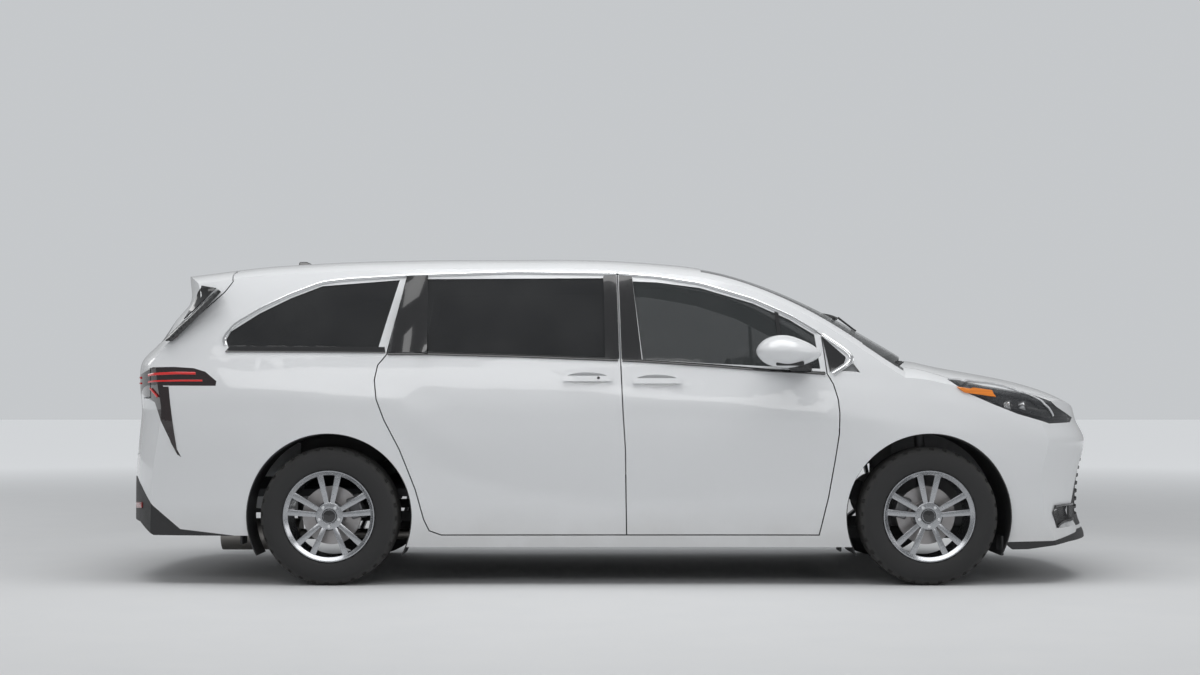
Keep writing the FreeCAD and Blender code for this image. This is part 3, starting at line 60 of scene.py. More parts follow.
# %%
class Sock:
    def __init__(self, tree, socket):
        self.tree, self.socket = tree, socket

    def math(self, kind, *others):
        node = self.tree.nodes.new("ShaderNodeMath")
        node.operation = kind
        for slot, item in zip(node.inputs, (self,) + others):
            if isinstance(item, Sock):
                self.tree.links.new(item.socket, slot)
            else:
                slot.default_value = item
        return Sock(self.tree, node.outputs[0])

    def __add__(self, other):
        return self.math("ADD", other)

    def __mul__(self, other):
        return self.math("MULTIPLY", other)

    def __sub__(self, other):
        return self.math("SUBTRACT", other)

    def __rsub__(self, other):
        return (self * -1.0) + other

    def __lt__(self, other):
        return self.math("LESS_THAN", other)


class Finish:
    """A material built from one Principled shader."""

    def __init__(self, name, **inputs):
        self.material = bpy.data.materials.new(name)
        self.material.use_nodes = True
        self.tree = self.material.node_tree
        self.shader = self.tree.nodes["Principled BSDF"]
        for key, value in inputs.items():
            self.shader.inputs[key.replace("_", " ")].default_value = value

    def node(self, kind, **settings):
        """Any other node: attributes by name, inputs by name with a leading in_."""
        item = self.tree.nodes.new("ShaderNode" + kind)
        for key, value in settings.items():
            if key.startswith("in_"):
                slot = item.inputs[key[3:]]
                if isinstance(value, Sock):
                    self.tree.links.new(value.socket, slot)
                else:
                    slot.default_value = value
            else:
                setattr(item, key, value)
        return item

    def out(self, item, name=0):
        return Sock(self.tree, item.outputs[name])

    def place(self):
        return self.out(self.node("TexCoord"), "Object")

    def axes(self):
        split = self.node("SeparateXYZ", in_Vector=self.place())
        return [self.out(split, axis) for axis in "XYZ"]

    def noise(self, scale, detail=2.0, **more):
        item = self.node("TexNoise", in_Vector=self.place(), in_Scale=scale, in_Detail=detail, **more)
        return self.out(item, 0)

    def mix(self, factor, a, b):
        item = self.node("Mix", data_type="RGBA")
        for slot, value in zip((item.inputs[0], item.inputs[6], item.inputs[7]), (factor, a, b)):
            if isinstance(value, Sock):
                self.tree.links.new(value.socket, slot)
            else:
                slot.default_value = value
        return Sock(self.tree, item.outputs[2])

    def feed(self, name, sock):
        self.tree.links.new(sock.socket, self.shader.inputs[name])

    def bump(self, height, strength, distance=0.001):
        item = self.node("Bump", in_Height=height)
        item.inputs["Strength"].default_value = strength
        item.inputs["Distance"].default_value = distance
        self.tree.links.new(item.outputs[0], self.shader.inputs["Normal"])

    def rough(self, sock, low, high):
        self.feed("Roughness", sock * (high - low) + low)


def rgb(r, g, b):
    return (r, g, b, 1.0)


print("shader helpers ready")

# %% [markdown]
# ## Finishes of the body
# Pearl white under a clear coat, with a faint flake and a little road film near the sills.

# %%
def paint(name, inside_axis=None, inside=(0.045, 0.043, 0.044)):
    """Pearl white outside. Faces that look into the cabin carry its trim instead."""
    look = Finish(name, Coat_Roughness=0.03, Metallic=0.0)
    x, y, z = look.axes()
    flake = look.noise(900.0, 1.0)
    film = (0.42 - z) * 2.2 * look.noise(6.0, 4.0)
    film = film.math("MAXIMUM", 0.0).math("MINIMUM", 0.22)
    tint = look.mix(flake, rgb(0.70, 0.715, 0.735), rgb(0.78, 0.785, 0.79))
    tint = look.mix(film, tint, rgb(0.36, 0.34, 0.31))
    gloss_level = film + flake * 0.15
    facing = look.node("SeparateXYZ", in_Vector=look.out(look.node("NewGeometry"), "True Normal"))
    if inside_axis == "Y":
        deep = (y.math("ABSOLUTE") < 0.86) * (z < 0.80)
        inward = ((look.out(facing, "Y") * y.math("SIGN")) < -0.45).math("MAXIMUM", deep)
    elif inside_axis == "Z":
        inward = look.out(facing, "Z") < -0.45
    else:
        inward = x * 0.0
    grain = look.noise(700.0, 3.0)
    trim = look.mix(grain, rgb(*[value * 0.8 for value in inside]), rgb(*inside))
    look.feed("Base Color", look.mix(inward, tint, trim))
    look.feed("Roughness", (gloss_level * 0.37 + 0.28) * (1.0 - inward) + inward * 0.85)
    look.feed("Coat Weight", 1.0 - inward)
    look.bump(look.noise(1400.0, 2.0), 0.03, 0.0004)
    return look.material


def plastic(name, color, grain, low=0.45, high=0.7, strength=0.25):
    """Moulded plastic: leather-like grain in the bump and a slightly uneven sheen."""
    look = Finish(name)
    cells = look.node("TexVoronoi", in_Vector=look.place(), in_Scale=grain)
    wear = look.noise(14.0, 3.0)
    look.feed("Base Color", look.mix(wear, rgb(*color), rgb(*[value * 1.35 + 0.004 for value in color])))
    look.rough(wear, low, high)
    look.bump(look.out(cells, "Distance"), strength, 0.0006)
    return look.material


def gloss(name, color, rough=0.08, coat=1.0):
    """Gloss black or coloured trim with faint polish marks."""
    look = Finish(name, Coat_Weight=coat, Coat_Roughness=0.02)
    wear = look.noise(40.0, 4.0)
    look.feed("Base Color", look.mix(wear, rgb(*color), rgb(*[value * 1.2 + 0.002 for value in color])))
    look.rough(wear, rough, rough + 0.12)
    look.bump(look.noise(220.0, 2.0), 0.01, 0.0003)
    return look.material


def metal(name, color, low, high, scale=60.0, coat=0.0):
    """Metal or metallic paint: slight cloudiness in its colour and its sheen."""
    look = Finish(name, Metallic=1.0, Coat_Weight=coat)
    wear = look.noise(scale, 4.0)
    look.feed("Base Color", look.mix(wear, rgb(*[value * 0.85 for value in color]), rgb(*color)))
    look.rough(wear, low, high)
    look.bump(look.noise(scale * 8.0, 2.0), 0.04, 0.0004)
    return look.material


def turned_metal(name, color, centre, low=0.25, high=0.45, rust=0.0):
    """A brake rotor: fine rings about the wheel's axle."""
    look = Finish(name, Metallic=1.0)
    x, y, z = look.axes()
    across, up = x - centre[0], z - centre[1]
    radius = (across * across + up * up).math("SQRT")
    rings = (radius * 2600.0).math("SINE") * 0.5 + 0.5
    wear = look.noise(30.0, 4.0)
    look.feed("Base Color", look.mix(wear * rust, rgb(*color), rgb(0.20, 0.11, 0.06)))
    look.rough(rings * 0.5 + wear * 0.5, low, high)
    look.bump(rings, 0.15, 0.0003)
    return look.material


def glass(name, tint, alpha, rough=0.0):
    """Tinted glass: clear where it is looked through, glossy on top, with a thin film of dust."""
    look = Finish(name, Coat_Weight=0.0, IOR=1.5)
    dust = look.noise(5.0, 5.0)
    look.feed("Base Color", look.mix(dust * 0.12, rgb(*tint), rgb(0.25, 0.25, 0.24)))
    look.feed("Alpha", dust * 0.06 + alpha)
    look.rough(dust, rough + 0.01, rough + 0.05)
    return look.material


def rubber(name, centre, radius):
    """A tyre: dull rubber, ribbed sidewall rings and a dusty band next to the tread."""
    look = Finish(name)
    x, y, z = look.axes()
    across, up = x - centre[0], z - centre[1]
    reach = (across * across + up * up).math("SQRT")
    dusty = look.noise(24.0, 5.0)
    edge = ((reach - (radius - 0.03)) * 30.0).math("MAXIMUM", 0.0).math("MINIMUM", 1.0)
    shade = look.mix(edge * 0.6 + dusty * 0.25, rgb(0.018, 0.018, 0.019), rgb(0.062, 0.060, 0.057))
    look.feed("Base Color", shade)
    look.rough(dusty, 0.62, 0.85)
    rings = (reach * 900.0).math("SINE") * 0.5
    look.bump(rings + look.noise(700.0, 2.0), 0.25, 0.0006)
    return look.material


def cloth(name, light, dark, weave=900.0):
    """Woven seat cloth: two crossed threads and a soft sheen."""
    look = Finish(name, Sheen_Weight=0.35, Sheen_Roughness=0.5)
    x, y, z = look.axes()
    warp = ((x + z) * weave).math("SINE")
    weft = ((y * weave)).math("SINE")
    thread = (warp * weft) * 0.5 + 0.5
    look.feed("Base Color", look.mix(thread, rgb(*dark), rgb(*light)))
    look.rough(look.noise(20.0, 3.0), 0.75, 0.95)
    look.bump(thread, 0.35, 0.0006)
    return look.material


def lens(name, color, alpha, emission=0.0, stripes=0.0):
    """A lamp lens with fine optics moulded inside."""
    look = Finish(name, IOR=1.5, Coat_Weight=1.0)
    x, y, z = look.axes()
    optic = ((z * 420.0).math("SINE") * 0.5 + 0.5)
    look.feed("Base Color", look.mix(optic * 0.3, rgb(*color), rgb(*[value * 0.55 for value in color])))
    look.feed("Alpha", optic * stripes + alpha)
    look.rough(look.noise(30.0, 2.0), 0.02, 0.07)
    if emission:
        look.shader.inputs["Emission Color"].default_value = rgb(*color)
        look.shader.inputs["Emission Strength"].default_value = emission
    return look.material


def mesh_grille(name):
    """Diamond mesh: ribs that cross over openings painted near-black as the shade behind the holes, worked out
    from the place along and up the nose.
    """
    look = Finish(name, Coat_Weight=0.3)
    x, y, z = look.axes()
    along = x + y.math("ABSOLUTE") * 0.7
    ribs = [((along + z * lean) * 300.0).math("SINE").math("ABSOLUTE") for lean in (1.7, -1.7)]
    rib = ribs[0].math("MINIMUM", ribs[1]) < 0.32
    # Painted shade: the openings take a near-black colour in place of the dark seen through real holes.
    look.feed("Base Color", look.mix(rib, rgb(0.004, 0.004, 0.005), rgb(0.045, 0.046, 0.048)))
    look.feed("Roughness", rib * -0.45 + 0.8)
    look.bump(rib, 0.6, 0.002)
    return look.material


MESH = mesh_grille("diamond_mesh")
PAINT = paint("pearl_white")
PAINT_SIDE = paint("pearl_white_lined", "Y")
PAINT_ROOF = paint("pearl_white_headlined", "Z", (0.36, 0.35, 0.33))
BLACK = plastic("grained_black", (0.022, 0.022, 0.023), 1500.0)
BLACK_GLOSS = gloss("piano_black", (0.008, 0.008, 0.009))
CHROME = metal("satin_chrome", (0.86, 0.87, 0.88), 0.06, 0.18, 50.0)
DARK_CHROME = metal("dark_chrome", (0.30, 0.31, 0.33), 0.12, 0.25, 50.0)
SILVER = metal("bright_alloy", (0.47, 0.48, 0.50), 0.20, 0.32, 90.0, coat=0.6)
POCKET = gloss("alloy_pocket_grey", (0.055, 0.057, 0.062), 0.25, 0.5)
CABIN = plastic("cabin_plastic", (0.035, 0.034, 0.036), 1200.0, 0.55, 0.8)
SEAT = cloth("seat_cloth", (0.105, 0.10, 0.098), (0.028, 0.027, 0.028))
SEAT_SIDE = plastic("seat_side_vinyl", (0.030, 0.029, 0.030), 1600.0, 0.5, 0.7)
CLEAR = glass("front_glass", (0.035, 0.040, 0.042), 0.50)
PRIVACY = glass("privacy_glass", (0.012, 0.013, 0.015), 0.80)
LENS_CLEAR = lens("clear_lens", (0.055, 0.058, 0.064), 0.30, stripes=0.08)
LENS_RED = lens("red_lens", (0.42, 0.012, 0.012), 0.70, stripes=0.2)
RED_GLOW = lens("red_light_bar", (0.55, 0.01, 0.01), 1.0, emission=0.25)
SMOKE = lens("smoked_lens", (0.016, 0.007, 0.008), 0.92, stripes=0.05)
HOUSING = gloss("lamp_housing", (0.020, 0.021, 0.023), 0.22)
PALE_LENS = lens("pale_lens", (0.60, 0.61, 0.63), 0.95)
AMBER = lens("amber_marker", (0.75, 0.22, 0.02), 0.92, emission=0.1)
CASTING = metal("rough_casting", (0.33, 0.33, 0.34), 0.5, 0.8, 25.0)
CHASSIS = plastic("chassis_black", (0.030, 0.030, 0.031), 300.0, 0.5, 0.8, 0.4)
UNDER = plastic("underbody_coat", (0.070, 0.072, 0.076), 260.0, 0.6, 0.9, 0.5)
STEEL = metal("dulled_steel", (0.42, 0.40, 0.38), 0.35, 0.6, 12.0)
print("finishes", len(bpy.data.materials))

# %% [markdown]
# ## Each solid's finish

# %%
FINISHES = {
    "floor_pan": UNDER, "bulkhead": UNDER, "engine_block": CASTING, "radiator": DARK_CHROME,
    "fuel_tank": BLACK, "exhaust": STEEL, "rear_suspension": CHASSIS, "front_suspension": CHASSIS,
    "front_knuckle_left": CASTING, "front_knuckle_right": CASTING, "windscreen": CLEAR,
    "front_door_glass_left": CLEAR, "front_door_glass_right": CLEAR, "fixed_side_glass": PRIVACY,
    "tailgate_glass": PRIVACY, "cowl_panel": BLACK, "grille": BLACK, "front_valance": BLACK,
    "rear_valance": BLACK, "wheel_liners": BLACK, "headlamps": LENS_CLEAR, "tail_lamp_left": SMOKE,
    "tail_lamp_right": SMOKE, "tailgate_lamps": SMOKE, "dashboard": CABIN, "steering_wheel": CABIN,
    "front_seats": SEAT, "middle_seats": SEAT, "rear_bench": SEAT, "centre_console": CABIN,
    "roof_panel": PAINT_ROOF,
}
LINED = ("front_door_left", "front_door_right", "sliding_door", "side_frame", "fender")
for name, solid in nodes.items():
    look = FINISHES.get(name, PAINT)
    if name.startswith(LINED) and name not in FINISHES:
        look = PAINT_SIDE
    if name.startswith("rim_"):
        look = SILVER
    if name.startswith("tyre_"):
        low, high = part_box(name)
        centre = (low[0] + high[0]) / 2, (low[2] + high[2]) / 2
        look = rubber("rubber_" + name, centre, (high[2] - low[2]) / 2)
    solid.data.materials.clear()
    solid.data.materials.append(look)
print("finished solids", len(nodes))

# %% [markdown]
# ## Shape tools
# Small pieces are swept, spun and bevelled with bmesh operators, then laid on the skin by casting rays at it.

# %%
BODY_SKIN = ["bonnet", "front_bumper", "grille", "front_valance", "headlamps", "windscreen", "cowl_panel",
             "roof_panel", "fixed_side_glass", "rear_bumper", "rear_valance", "tailgate", "tailgate_glass",
             "tailgate_lamps"]
for hand in ("left", "right"):
    BODY_SKIN += [name + hand for name in ("side_frame_", "fender_", "front_door_", "front_door_glass_",
                                           "sliding_door_", "tail_lamp_")]


def cast_tree(names):
    """One tree of all the named solids' faces, to cast rays at."""
    bm = bmesh.new()
    for name in names:
        bm.from_mesh(nodes[name].data)
    tree = BVHTree.FromBMesh(bm)
    bm.free()
    return tree


SKIN = cast_tree(BODY_SKIN)
CAST_MISS = 2.0


def caster(origin, aim, spread):
    """A function of two coordinates that gives the skin's place and normal where a ray meets it."""
    def hit(a, b):
        start = Vector(origin)
        start[spread[0]], start[spread[1]] = a, b
        place, normal, index, reach = SKIN.ray_cast(start, Vector(aim))
        return (place, normal) if place else (start + Vector(aim) * CAST_MISS, -Vector(aim))
    return hit


def side_hit(side):
    """Casts at the left (1) or right (-1) side from (x, z)."""
    return caster((0.0, side * 2.9, 0.0), (0.0, -side, 0.0), (0, 2))


def end_hit(sign):
    """Casts at the nose (1) or the tail (-1) from (y, z)."""
    return caster((sign * 4.5, 0.0, 0.0), (-sign, 0.0, 0.0), (1, 2))


top_hit = caster((0.0, 0.0, 3.0), (0.0, 0.0, -1.0), (0, 1))


def outermost(hit, a, b, reach=0.007):
    """The outermost of five casts round a point, so that a shut line or a glass's edge is bridged."""
    spots = [hit(a + x * reach, b + z * reach) for x, z in ((0, 0), (1, 1), (1, -1), (-1, 1), (-1, -1))]
    away = hit(a, b)[1]
    main = max(range(3), key=lambda axis: abs(away[axis]))
    place, out = max(spots, key=lambda spot: spot[0][main] * (1 if away[main] > 0 else -1))
    near = [normal for spot, normal in spots if abs((spot - place)[main]) < 0.004 and abs(normal[main]) > 0.3]
    out = sum(near, Vector()).normalized() if near else out
    point = hit(a, b)[0].copy()
    point[main] = place[main]
    return point, out


def dense(points, step):
    """More points along a polyline, evenly spread."""
    out = []
    for a, b in zip(points, points[1:]):
        a, b = Vector(a), Vector(b)
        count = max(1, round((b - a).length / step))
        out += [a.lerp(b, share / count) for share in range(count)]
    return out + [Vector(points[-1])]


def eased(points, rounds=2):
    """A path with its corners softened; its ends stay."""
    for turn in range(rounds):
        middle = [(a + b * 2.0 + c) / 4.0 for a, b, c in zip(points, points[1:], points[2:])]
        points = [points[0]] + middle + [points[-1]]
    return points


def link(bm, name, looks, body, angle=35.0):
    """A finished bmesh as an object that rides a CAD body."""
    mesh = bpy.data.meshes.new(name)
    bmesh.ops.recalc_face_normals(bm, faces=bm.faces)
    for face in bm.faces:
        face.smooth = True
    bm.to_mesh(mesh)
    bm.free()
    mesh.set_sharp_from_angle(angle=math.radians(angle))
    for look in (looks if isinstance(looks, (list, tuple)) else [looks]):
        mesh.materials.append(look)
    item = bpy.data.objects.new(name, mesh)
    bpy.context.scene.collection.objects.link(item)
    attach(item, body)
    return item


def put(bm, name, look, place, body, angle=35.0):
    """Moves a piece made about the origin to its place and links it."""
    bmesh.ops.translate(bm, vec=place, verts=bm.verts)
    return link(bm, name, look, body, angle)


def sweep(bm, frames, section):
    """Bends a flat grid into a bar: its columns follow the frames and its rows the closed section."""
    columns, rows = len(frames) - 1, len(section)
    made = bmesh.ops.create_grid(bm, x_segments=columns, y_segments=rows, size=0.5)["verts"]
    for vert in made:
        place, across, out = frames[round((vert.co.x + 0.5) * columns)]
        a, b = section[round((vert.co.y + 0.5) * rows) % len(section)]
        vert.co = place + across * a + out * b
    bmesh.ops.remove_doubles(bm, verts=made, dist=0.000001)
    bmesh.ops.holes_fill(bm, edges=[edge for edge in bm.edges if edge.is_boundary], sides=0)


def band(name, points, wide, thick, look, body, hit, lift=0.0, step=0.02, sink=0.002, ease=2):
    """A moulding that lies on the skin along a path: flat underneath and rounded on top."""
    path = eased(dense(points, step), ease)
    hits = [outermost(hit, *point) for point in path]
    frames = []
    for index, (place, normal) in enumerate(hits):
        low, high = max(index - 1, 0), min(index + 1, len(hits) - 1)
        along = (hits[high][0] - hits[low][0]).normalized()
        out = sum((hits[near][1] for near in range(max(index - 2, 0), min(index + 3, len(hits)))), Vector())
        out = (out - along * out.dot(along)).normalized()
        frames.append((place + out * lift, along.cross(out), out))
    half = wide / 2.0
    section = [(-half, -sink), (-half, thick * 0.5), (-half * 0.7, thick * 0.9), (0.0, thick),
               (half * 0.7, thick * 0.9), (half, thick * 0.5), (half, -sink)]
    bm = bmesh.new()
    sweep(bm, frames, section)
    return link(bm, name, look, body)


def patch(name, outline, thick, look, body, hit, lift=0.0005, cuts=0.02):
    """A plaque cut to an outline and bent to a smooth surface fitted to the skin, which bridges seams."""
    bm = bmesh.new()
    ring = [bm.verts.new((a, b, 0.0)) for a, b in outline]
    bmesh.ops.contextual_create(bm, geom=ring)
    low = [min(point[axis] for point in outline) for axis in (0, 1)]
    high = [max(point[axis] for point in outline) for axis in (0, 1)]
    for axis in (0, 1):
        count = int((high[axis] - low[axis]) / cuts)
        for number in range(1, count + 1):
            place = [0.0, 0.0, 0.0]
            place[axis] = low[axis] + number * cuts
            normal = [0.0, 0.0, 0.0]
            normal[axis] = 1.0
            bmesh.ops.bisect_plane(bm, geom=bm.verts[:] + bm.edges[:] + bm.faces[:], plane_co=place,
                                   plane_no=normal, dist=0.0001)
    hits = [outermost(hit, vert.co.x, vert.co.y) for vert in bm.verts]
    facing = sum((out for place, out in hits), Vector())
    main = max(range(3), key=lambda axis: abs(facing[axis]))
    sign = 1.0 if facing[main] > 0 else -1.0
    terms = numpy.array([(1.0, a, b, a * a, a * b, b * b) for a, b in [vert.co[:2] for vert in bm.verts]])
    depth = numpy.array([place[main] for place, out in hits])
    kept = depth * sign > -9.0
    for turn in range(3):
        fit = terms @ numpy.linalg.lstsq(terms[kept], depth[kept], rcond=None)[0]
        error = (depth - fit) * sign
        kept = error > -0.003
    rise = min(float(error[kept].max()), 0.003)
    for vert, (place, out), level in zip(bm.verts, hits, fit):
        vert.co = place
        vert.co[main] = level + sign * (lift + thick + rise)
    bmesh.ops.recalc_face_normals(bm, faces=bm.faces)
    if sum(face.normal[main] * sign for face in bm.faces) < 0:
        bmesh.ops.reverse_faces(bm, faces=bm.faces)
    bmesh.ops.solidify(bm, geom=bm.faces[:], thickness=thick + max(lift, 0.0) + rise)
    return link(bm, name, look, body)


def slab(name, z, half, tall, thick, look, body, sign):
    """A flat plate that stands just clear of the nose or the tail."""
    hits = [end_hit(sign)(a * half, z + b * tall)[0].x for a in (-1, 0, 1) for b in (-1, 0, 1)]
    back = max(hits) if sign > 0 else min(hits)
    near, far = sorted((back, back + sign * thick))
    blocks(name, look, body, ((near, -half, z - tall), (far, half, z + tall), 0.002))


def block(bm, low, high, bevel=0.0, segments=2):
    """A box between two corners, its edges rounded."""
    made = bmesh.ops.create_cube(bm, size=1.0)["verts"]
    size = [b - a for a, b in zip(low, high)]
    middle = [(a + b) / 2 for a, b in zip(low, high)]
    bmesh.ops.scale(bm, vec=size, verts=made)
    bmesh.ops.translate(bm, vec=middle, verts=made)
    if bevel:
        edges = list({edge for vert in made for edge in vert.link_edges})
        bmesh.ops.bevel(bm, geom=edges, offset=bevel, segments=segments, profile=0.5, affect="EDGES",
                        material=-1)
    return made


def blocks(name, look, body, *boxes):
    """One piece made of rounded boxes, each given by its corners, bevel and bevel segments."""
    bm = bmesh.new()
    for item in boxes:
        block(bm, *item)
    return link(bm, name, look, body)


def spun(bm, profile, steps):
    """A profile of (along Y, radius) spun round the Y axis."""
    verts = [bm.verts.new((0.0, along, radius)) for along, radius in profile]
    edges = [bm.edges.new(pair) for pair in zip(verts, verts[1:])]
    bmesh.ops.spin(bm, geom=verts + edges, cent=(0.0, 0.0, 0.0), axis=(0.0, 1.0, 0.0), angle=math.tau,
                   steps=steps, use_merge=True)


def joined(bm, part, matrix):
    """Adds a small bmesh to another after turning it."""
    mesh = bpy.data.meshes.new("part")
    part.to_mesh(mesh)
    part.free()
    mesh.transform(matrix)
    bm.from_mesh(mesh)
    bpy.data.meshes.remove(mesh)


print("shape tools ready")

# %% [markdown]
# ## Wheels
# Each tyre is a spun profile with four grooves and shoulder blocks; each rim has five pairs of machined
# spokes over dark pockets, with nuts, a bare cap, a turned brake rotor and a caliper behind.

# %%
TYRE_STEPS, BLOCK_PITCH, SHOULDER = 96, 3, (0.0865, 0.105)


def tyre(name, centre, body):
    """The spun tread and sidewalls, with every third cell of the shoulders sunk between its blocks."""
    half = [(0.100, 0.2334), (0.106, 0.240), (0.1105, 0.252), (0.1145, 0.270), (0.1158, 0.290),
            (0.1145, 0.308), (0.1105, 0.3235), (0.1035, 0.3345), (0.0955, 0.3435), (0.0865, 0.3495),
            (0.0605, 0.3525), (0.0595, 0.3455), (0.0525, 0.3455), (0.0515, 0.3525), (0.0225, 0.3528),
            (0.0215, 0.3458), (0.0145, 0.3458), (0.0135, 0.3528)]
    profile = half + [(-along, radius) for along, radius in reversed(half)]
    bm = bmesh.new()
    spun(bm, profile, TYRE_STEPS)
    chosen = []
    for face in bm.faces:
        middle = face.calc_center_median()
        turn = math.degrees(math.atan2(middle.x, middle.z)) % 360.0
        cell = round(turn * TYRE_STEPS / 360.0 - 0.5)
        if SHOULDER[0] < abs(middle.y) < SHOULDER[1] and cell % BLOCK_PITCH == 0:
            chosen.append(face)
    bmesh.ops.inset_individual(bm, faces=chosen, thickness=0.0012, depth=-0.0045)
    look = nodes["tyre_" + name].data.materials[0]
    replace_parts(put(bm, "road_tyre_" + name, look, centre, body, 40.0), "tyre_" + name)


def spoke(bm, turn, outward):
    """One flat spoke from the hub out to the rim, its sides tapering in to the back."""
    made = bmesh.ops.create_cube(bm, size=1.0)["verts"]
    for vert in made:
        root = vert.co.z < 0
        front = vert.co.y > 0
        wide = (0.0125 if root else 0.0165) * (1.0 if front else 0.55)
        side = 1.0 if vert.co.x > 0 else -1.0
        height = 0.060 if root else 0.2135
        depth = (0.078 if root else 0.092) if front else (0.045 if root else 0.066)
        vert.co = Vector((side * wide, outward * depth, height))
    bmesh.ops.rotate(bm, verts=made, cent=(0, 0, 0), matrix=Matrix.Rotation(turn, 3, "Y"))


def turned(profile, steps, outward):
    """A new mesh spun from a profile of (outwards, radius)."""
    bm = bmesh.new()
    spun(bm, [(along * outward, radius) for along, radius in profile], steps)
    return bm


RIM_EDGE = 0.1067
BARREL = [(-RIM_EDGE, 0.2245), (-RIM_EDGE, 0.2330), (-RIM_EDGE + 0.006, 0.2330), (-RIM_EDGE + 0.012, 0.218),
          (RIM_EDGE - 0.020, 0.218), (RIM_EDGE - 0.006, 0.2330), (RIM_EDGE, 0.2330), (RIM_EDGE, 0.2275),
          (RIM_EDGE - 0.006, 0.2215), (RIM_EDGE - 0.016, 0.2105), (-RIM_EDGE + 0.010, 0.2085),
          (-RIM_EDGE, 0.2245)]
HUB = [(0.040, 0.075), (0.072, 0.075), (0.080, 0.068), (0.082, 0.040), (0.078, 0.034), (0.078, 0.0)]
CAP = [(0.074, 0.031), (0.088, 0.031), (0.0915, 0.028), (0.0925, 0.018), (0.093, 0.0)]
ROTOR = [(-0.026, 0.078), (-0.026, 0.150), (-0.016, 0.150), (-0.016, 0.142), (-0.010, 0.142),
         (-0.010, 0.150), (0.0, 0.150), (0.0, 0.078), (0.004, 0.0765), (0.040, 0.0765)]
SPOKE_PAIRS, PAIR_LEAN, NUT_CIRCLE = 5, 12.5, 0.0525


def rim(name, centre, body, outward):
    """Barrel, spokes with machined faces over dark pockets, nuts, cap and rotor of one wheel."""
    put(turned(BARREL, 96, outward), "rim_barrel_" + name, SILVER, centre, body, 40.0)
    bm = bmesh.new()
    for pair in range(SPOKE_PAIRS):
        for lean in (-PAIR_LEAN, PAIR_LEAN):
            spoke(bm, math.radians(360.0 / SPOKE_PAIRS * pair + lean), outward)
    spun(bm, [(along * outward, radius) for along, radius in HUB], 60)
    bmesh.ops.recalc_face_normals(bm, faces=bm.faces)
    edges = [item for item in bm.edges if len(item.link_faces) == 2 and item.calc_face_angle() > 0.6]
    bmesh.ops.bevel(bm, geom=edges, offset=0.0022, segments=2, profile=0.5, affect="EDGES", material=-1)
    for face in bm.faces:
        face.material_index = 0 if face.normal.y * outward > 0.80 else 1
    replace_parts(put(bm, "rim_spokes_" + name, [SILVER, POCKET], centre, body, 25.0), "rim_" + name)
    bm = bmesh.new()
    for nut in range(SPOKE_PAIRS):
        turn = math.radians(360.0 / SPOKE_PAIRS * (nut + 0.5))
        made = bmesh.ops.create_cone(bm, cap_ends=True, segments=6, radius1=0.0105, radius2=0.0085, depth=0.020)
        bmesh.ops.rotate(bm, verts=made["verts"], cent=(0, 0, 0),
                         matrix=Matrix.Rotation(math.radians(-90.0 * outward), 3, "X"))
        bmesh.ops.translate(bm, vec=(math.sin(turn) * NUT_CIRCLE, outward * 0.084, math.cos(turn) * NUT_CIRCLE),
                            verts=made["verts"])
    put(bm, "wheel_nuts_" + name, CHROME, centre, body, 30.0)
    put(turned(CAP, 40, outward), "wheel_cap_" + name, BLACK_GLOSS, centre, body, 30.0)
    rings = turned_metal("rotor_rings_" + name, (0.46, 0.46, 0.47), (centre[0], centre[2]), rust=0.35)
    put(turned(ROTOR, 72, outward), "brake_rotor_" + name, rings, centre, body, 30.0)


def caliper(name, centre, body, outward, ahead):
    """A sliding caliper that straddles the rotor's rear or front edge."""
    bm = bmesh.new()
    near, far = sorted((outward * 0.004, outward * 0.040))
    block(bm, (-0.055, near, 0.098), (0.055, far, 0.165), 0.010, 3)
    near, far = sorted((outward * -0.062, outward * -0.030))
    block(bm, (-0.065, near, 0.098), (0.065, far, 0.168), 0.012, 3)
    block(bm, (-0.035, -0.050, 0.153), (0.035, 0.034 if outward > 0 else 0.050, 0.168), 0.004, 2)
    bmesh.ops.rotate(bm, verts=bm.verts, cent=(0, 0, 0),
                     matrix=Matrix.Rotation(math.radians(72.0 * ahead), 3, "Y"))
    put(bm, "brake_caliper_" + name, CASTING, centre, body, 30.0)


for name in ("front_left", "front_right", "rear_left", "rear_right"):
    low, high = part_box("tyre_" + name)
    centre = [(a + b) / 2 for a, b in zip(low, high)]
    outward = 1.0 if centre[1] > 0 else -1.0
    front = name.startswith("front")
    tyre(name, centre, "wheel_" + name)
    rim(name, centre, "wheel_" + name, outward)
    caliper(name, centre, "knuckle_" + name.split("_")[1] if front else "root", outward, -1.0 if front else 1.0)
print("wheels made")

# %% [markdown]
# ## Window surrounds, pillar covers and belt mouldings
# The bright moulding runs over three bodies, so it is made in three lengths that meet at the shut lines.

# %%
CHROME_REAR = [(-1.985, 1.226), (-2.000, 1.262), (-1.944, 1.334), (-1.811, 1.419), (-1.657, 1.495),
               (-1.503, 1.556), (-1.365, 1.573), (-1.058, 1.592), (-0.508, 1.611), (0.021, 1.604)]
CHROME_DOOR = [(0.034, 1.603), (0.233, 1.587), (0.456, 1.553), (0.729, 1.468), (0.924, 1.377), (1.052, 1.296)]
CHROME_NOSE = [(1.078, 1.283), (1.202, 1.195), (1.235, 1.161), (1.219, 1.135), (1.128, 1.078)]
BELT_REAR = [(-1.150, 1.182), (-0.943, 1.183), (-0.500, 1.171), (0.028, 1.151)]
BELT_DOOR = [(0.050, 1.150), (0.151, 1.145), (0.522, 1.121), (0.796, 1.098), (1.088, 1.082)]

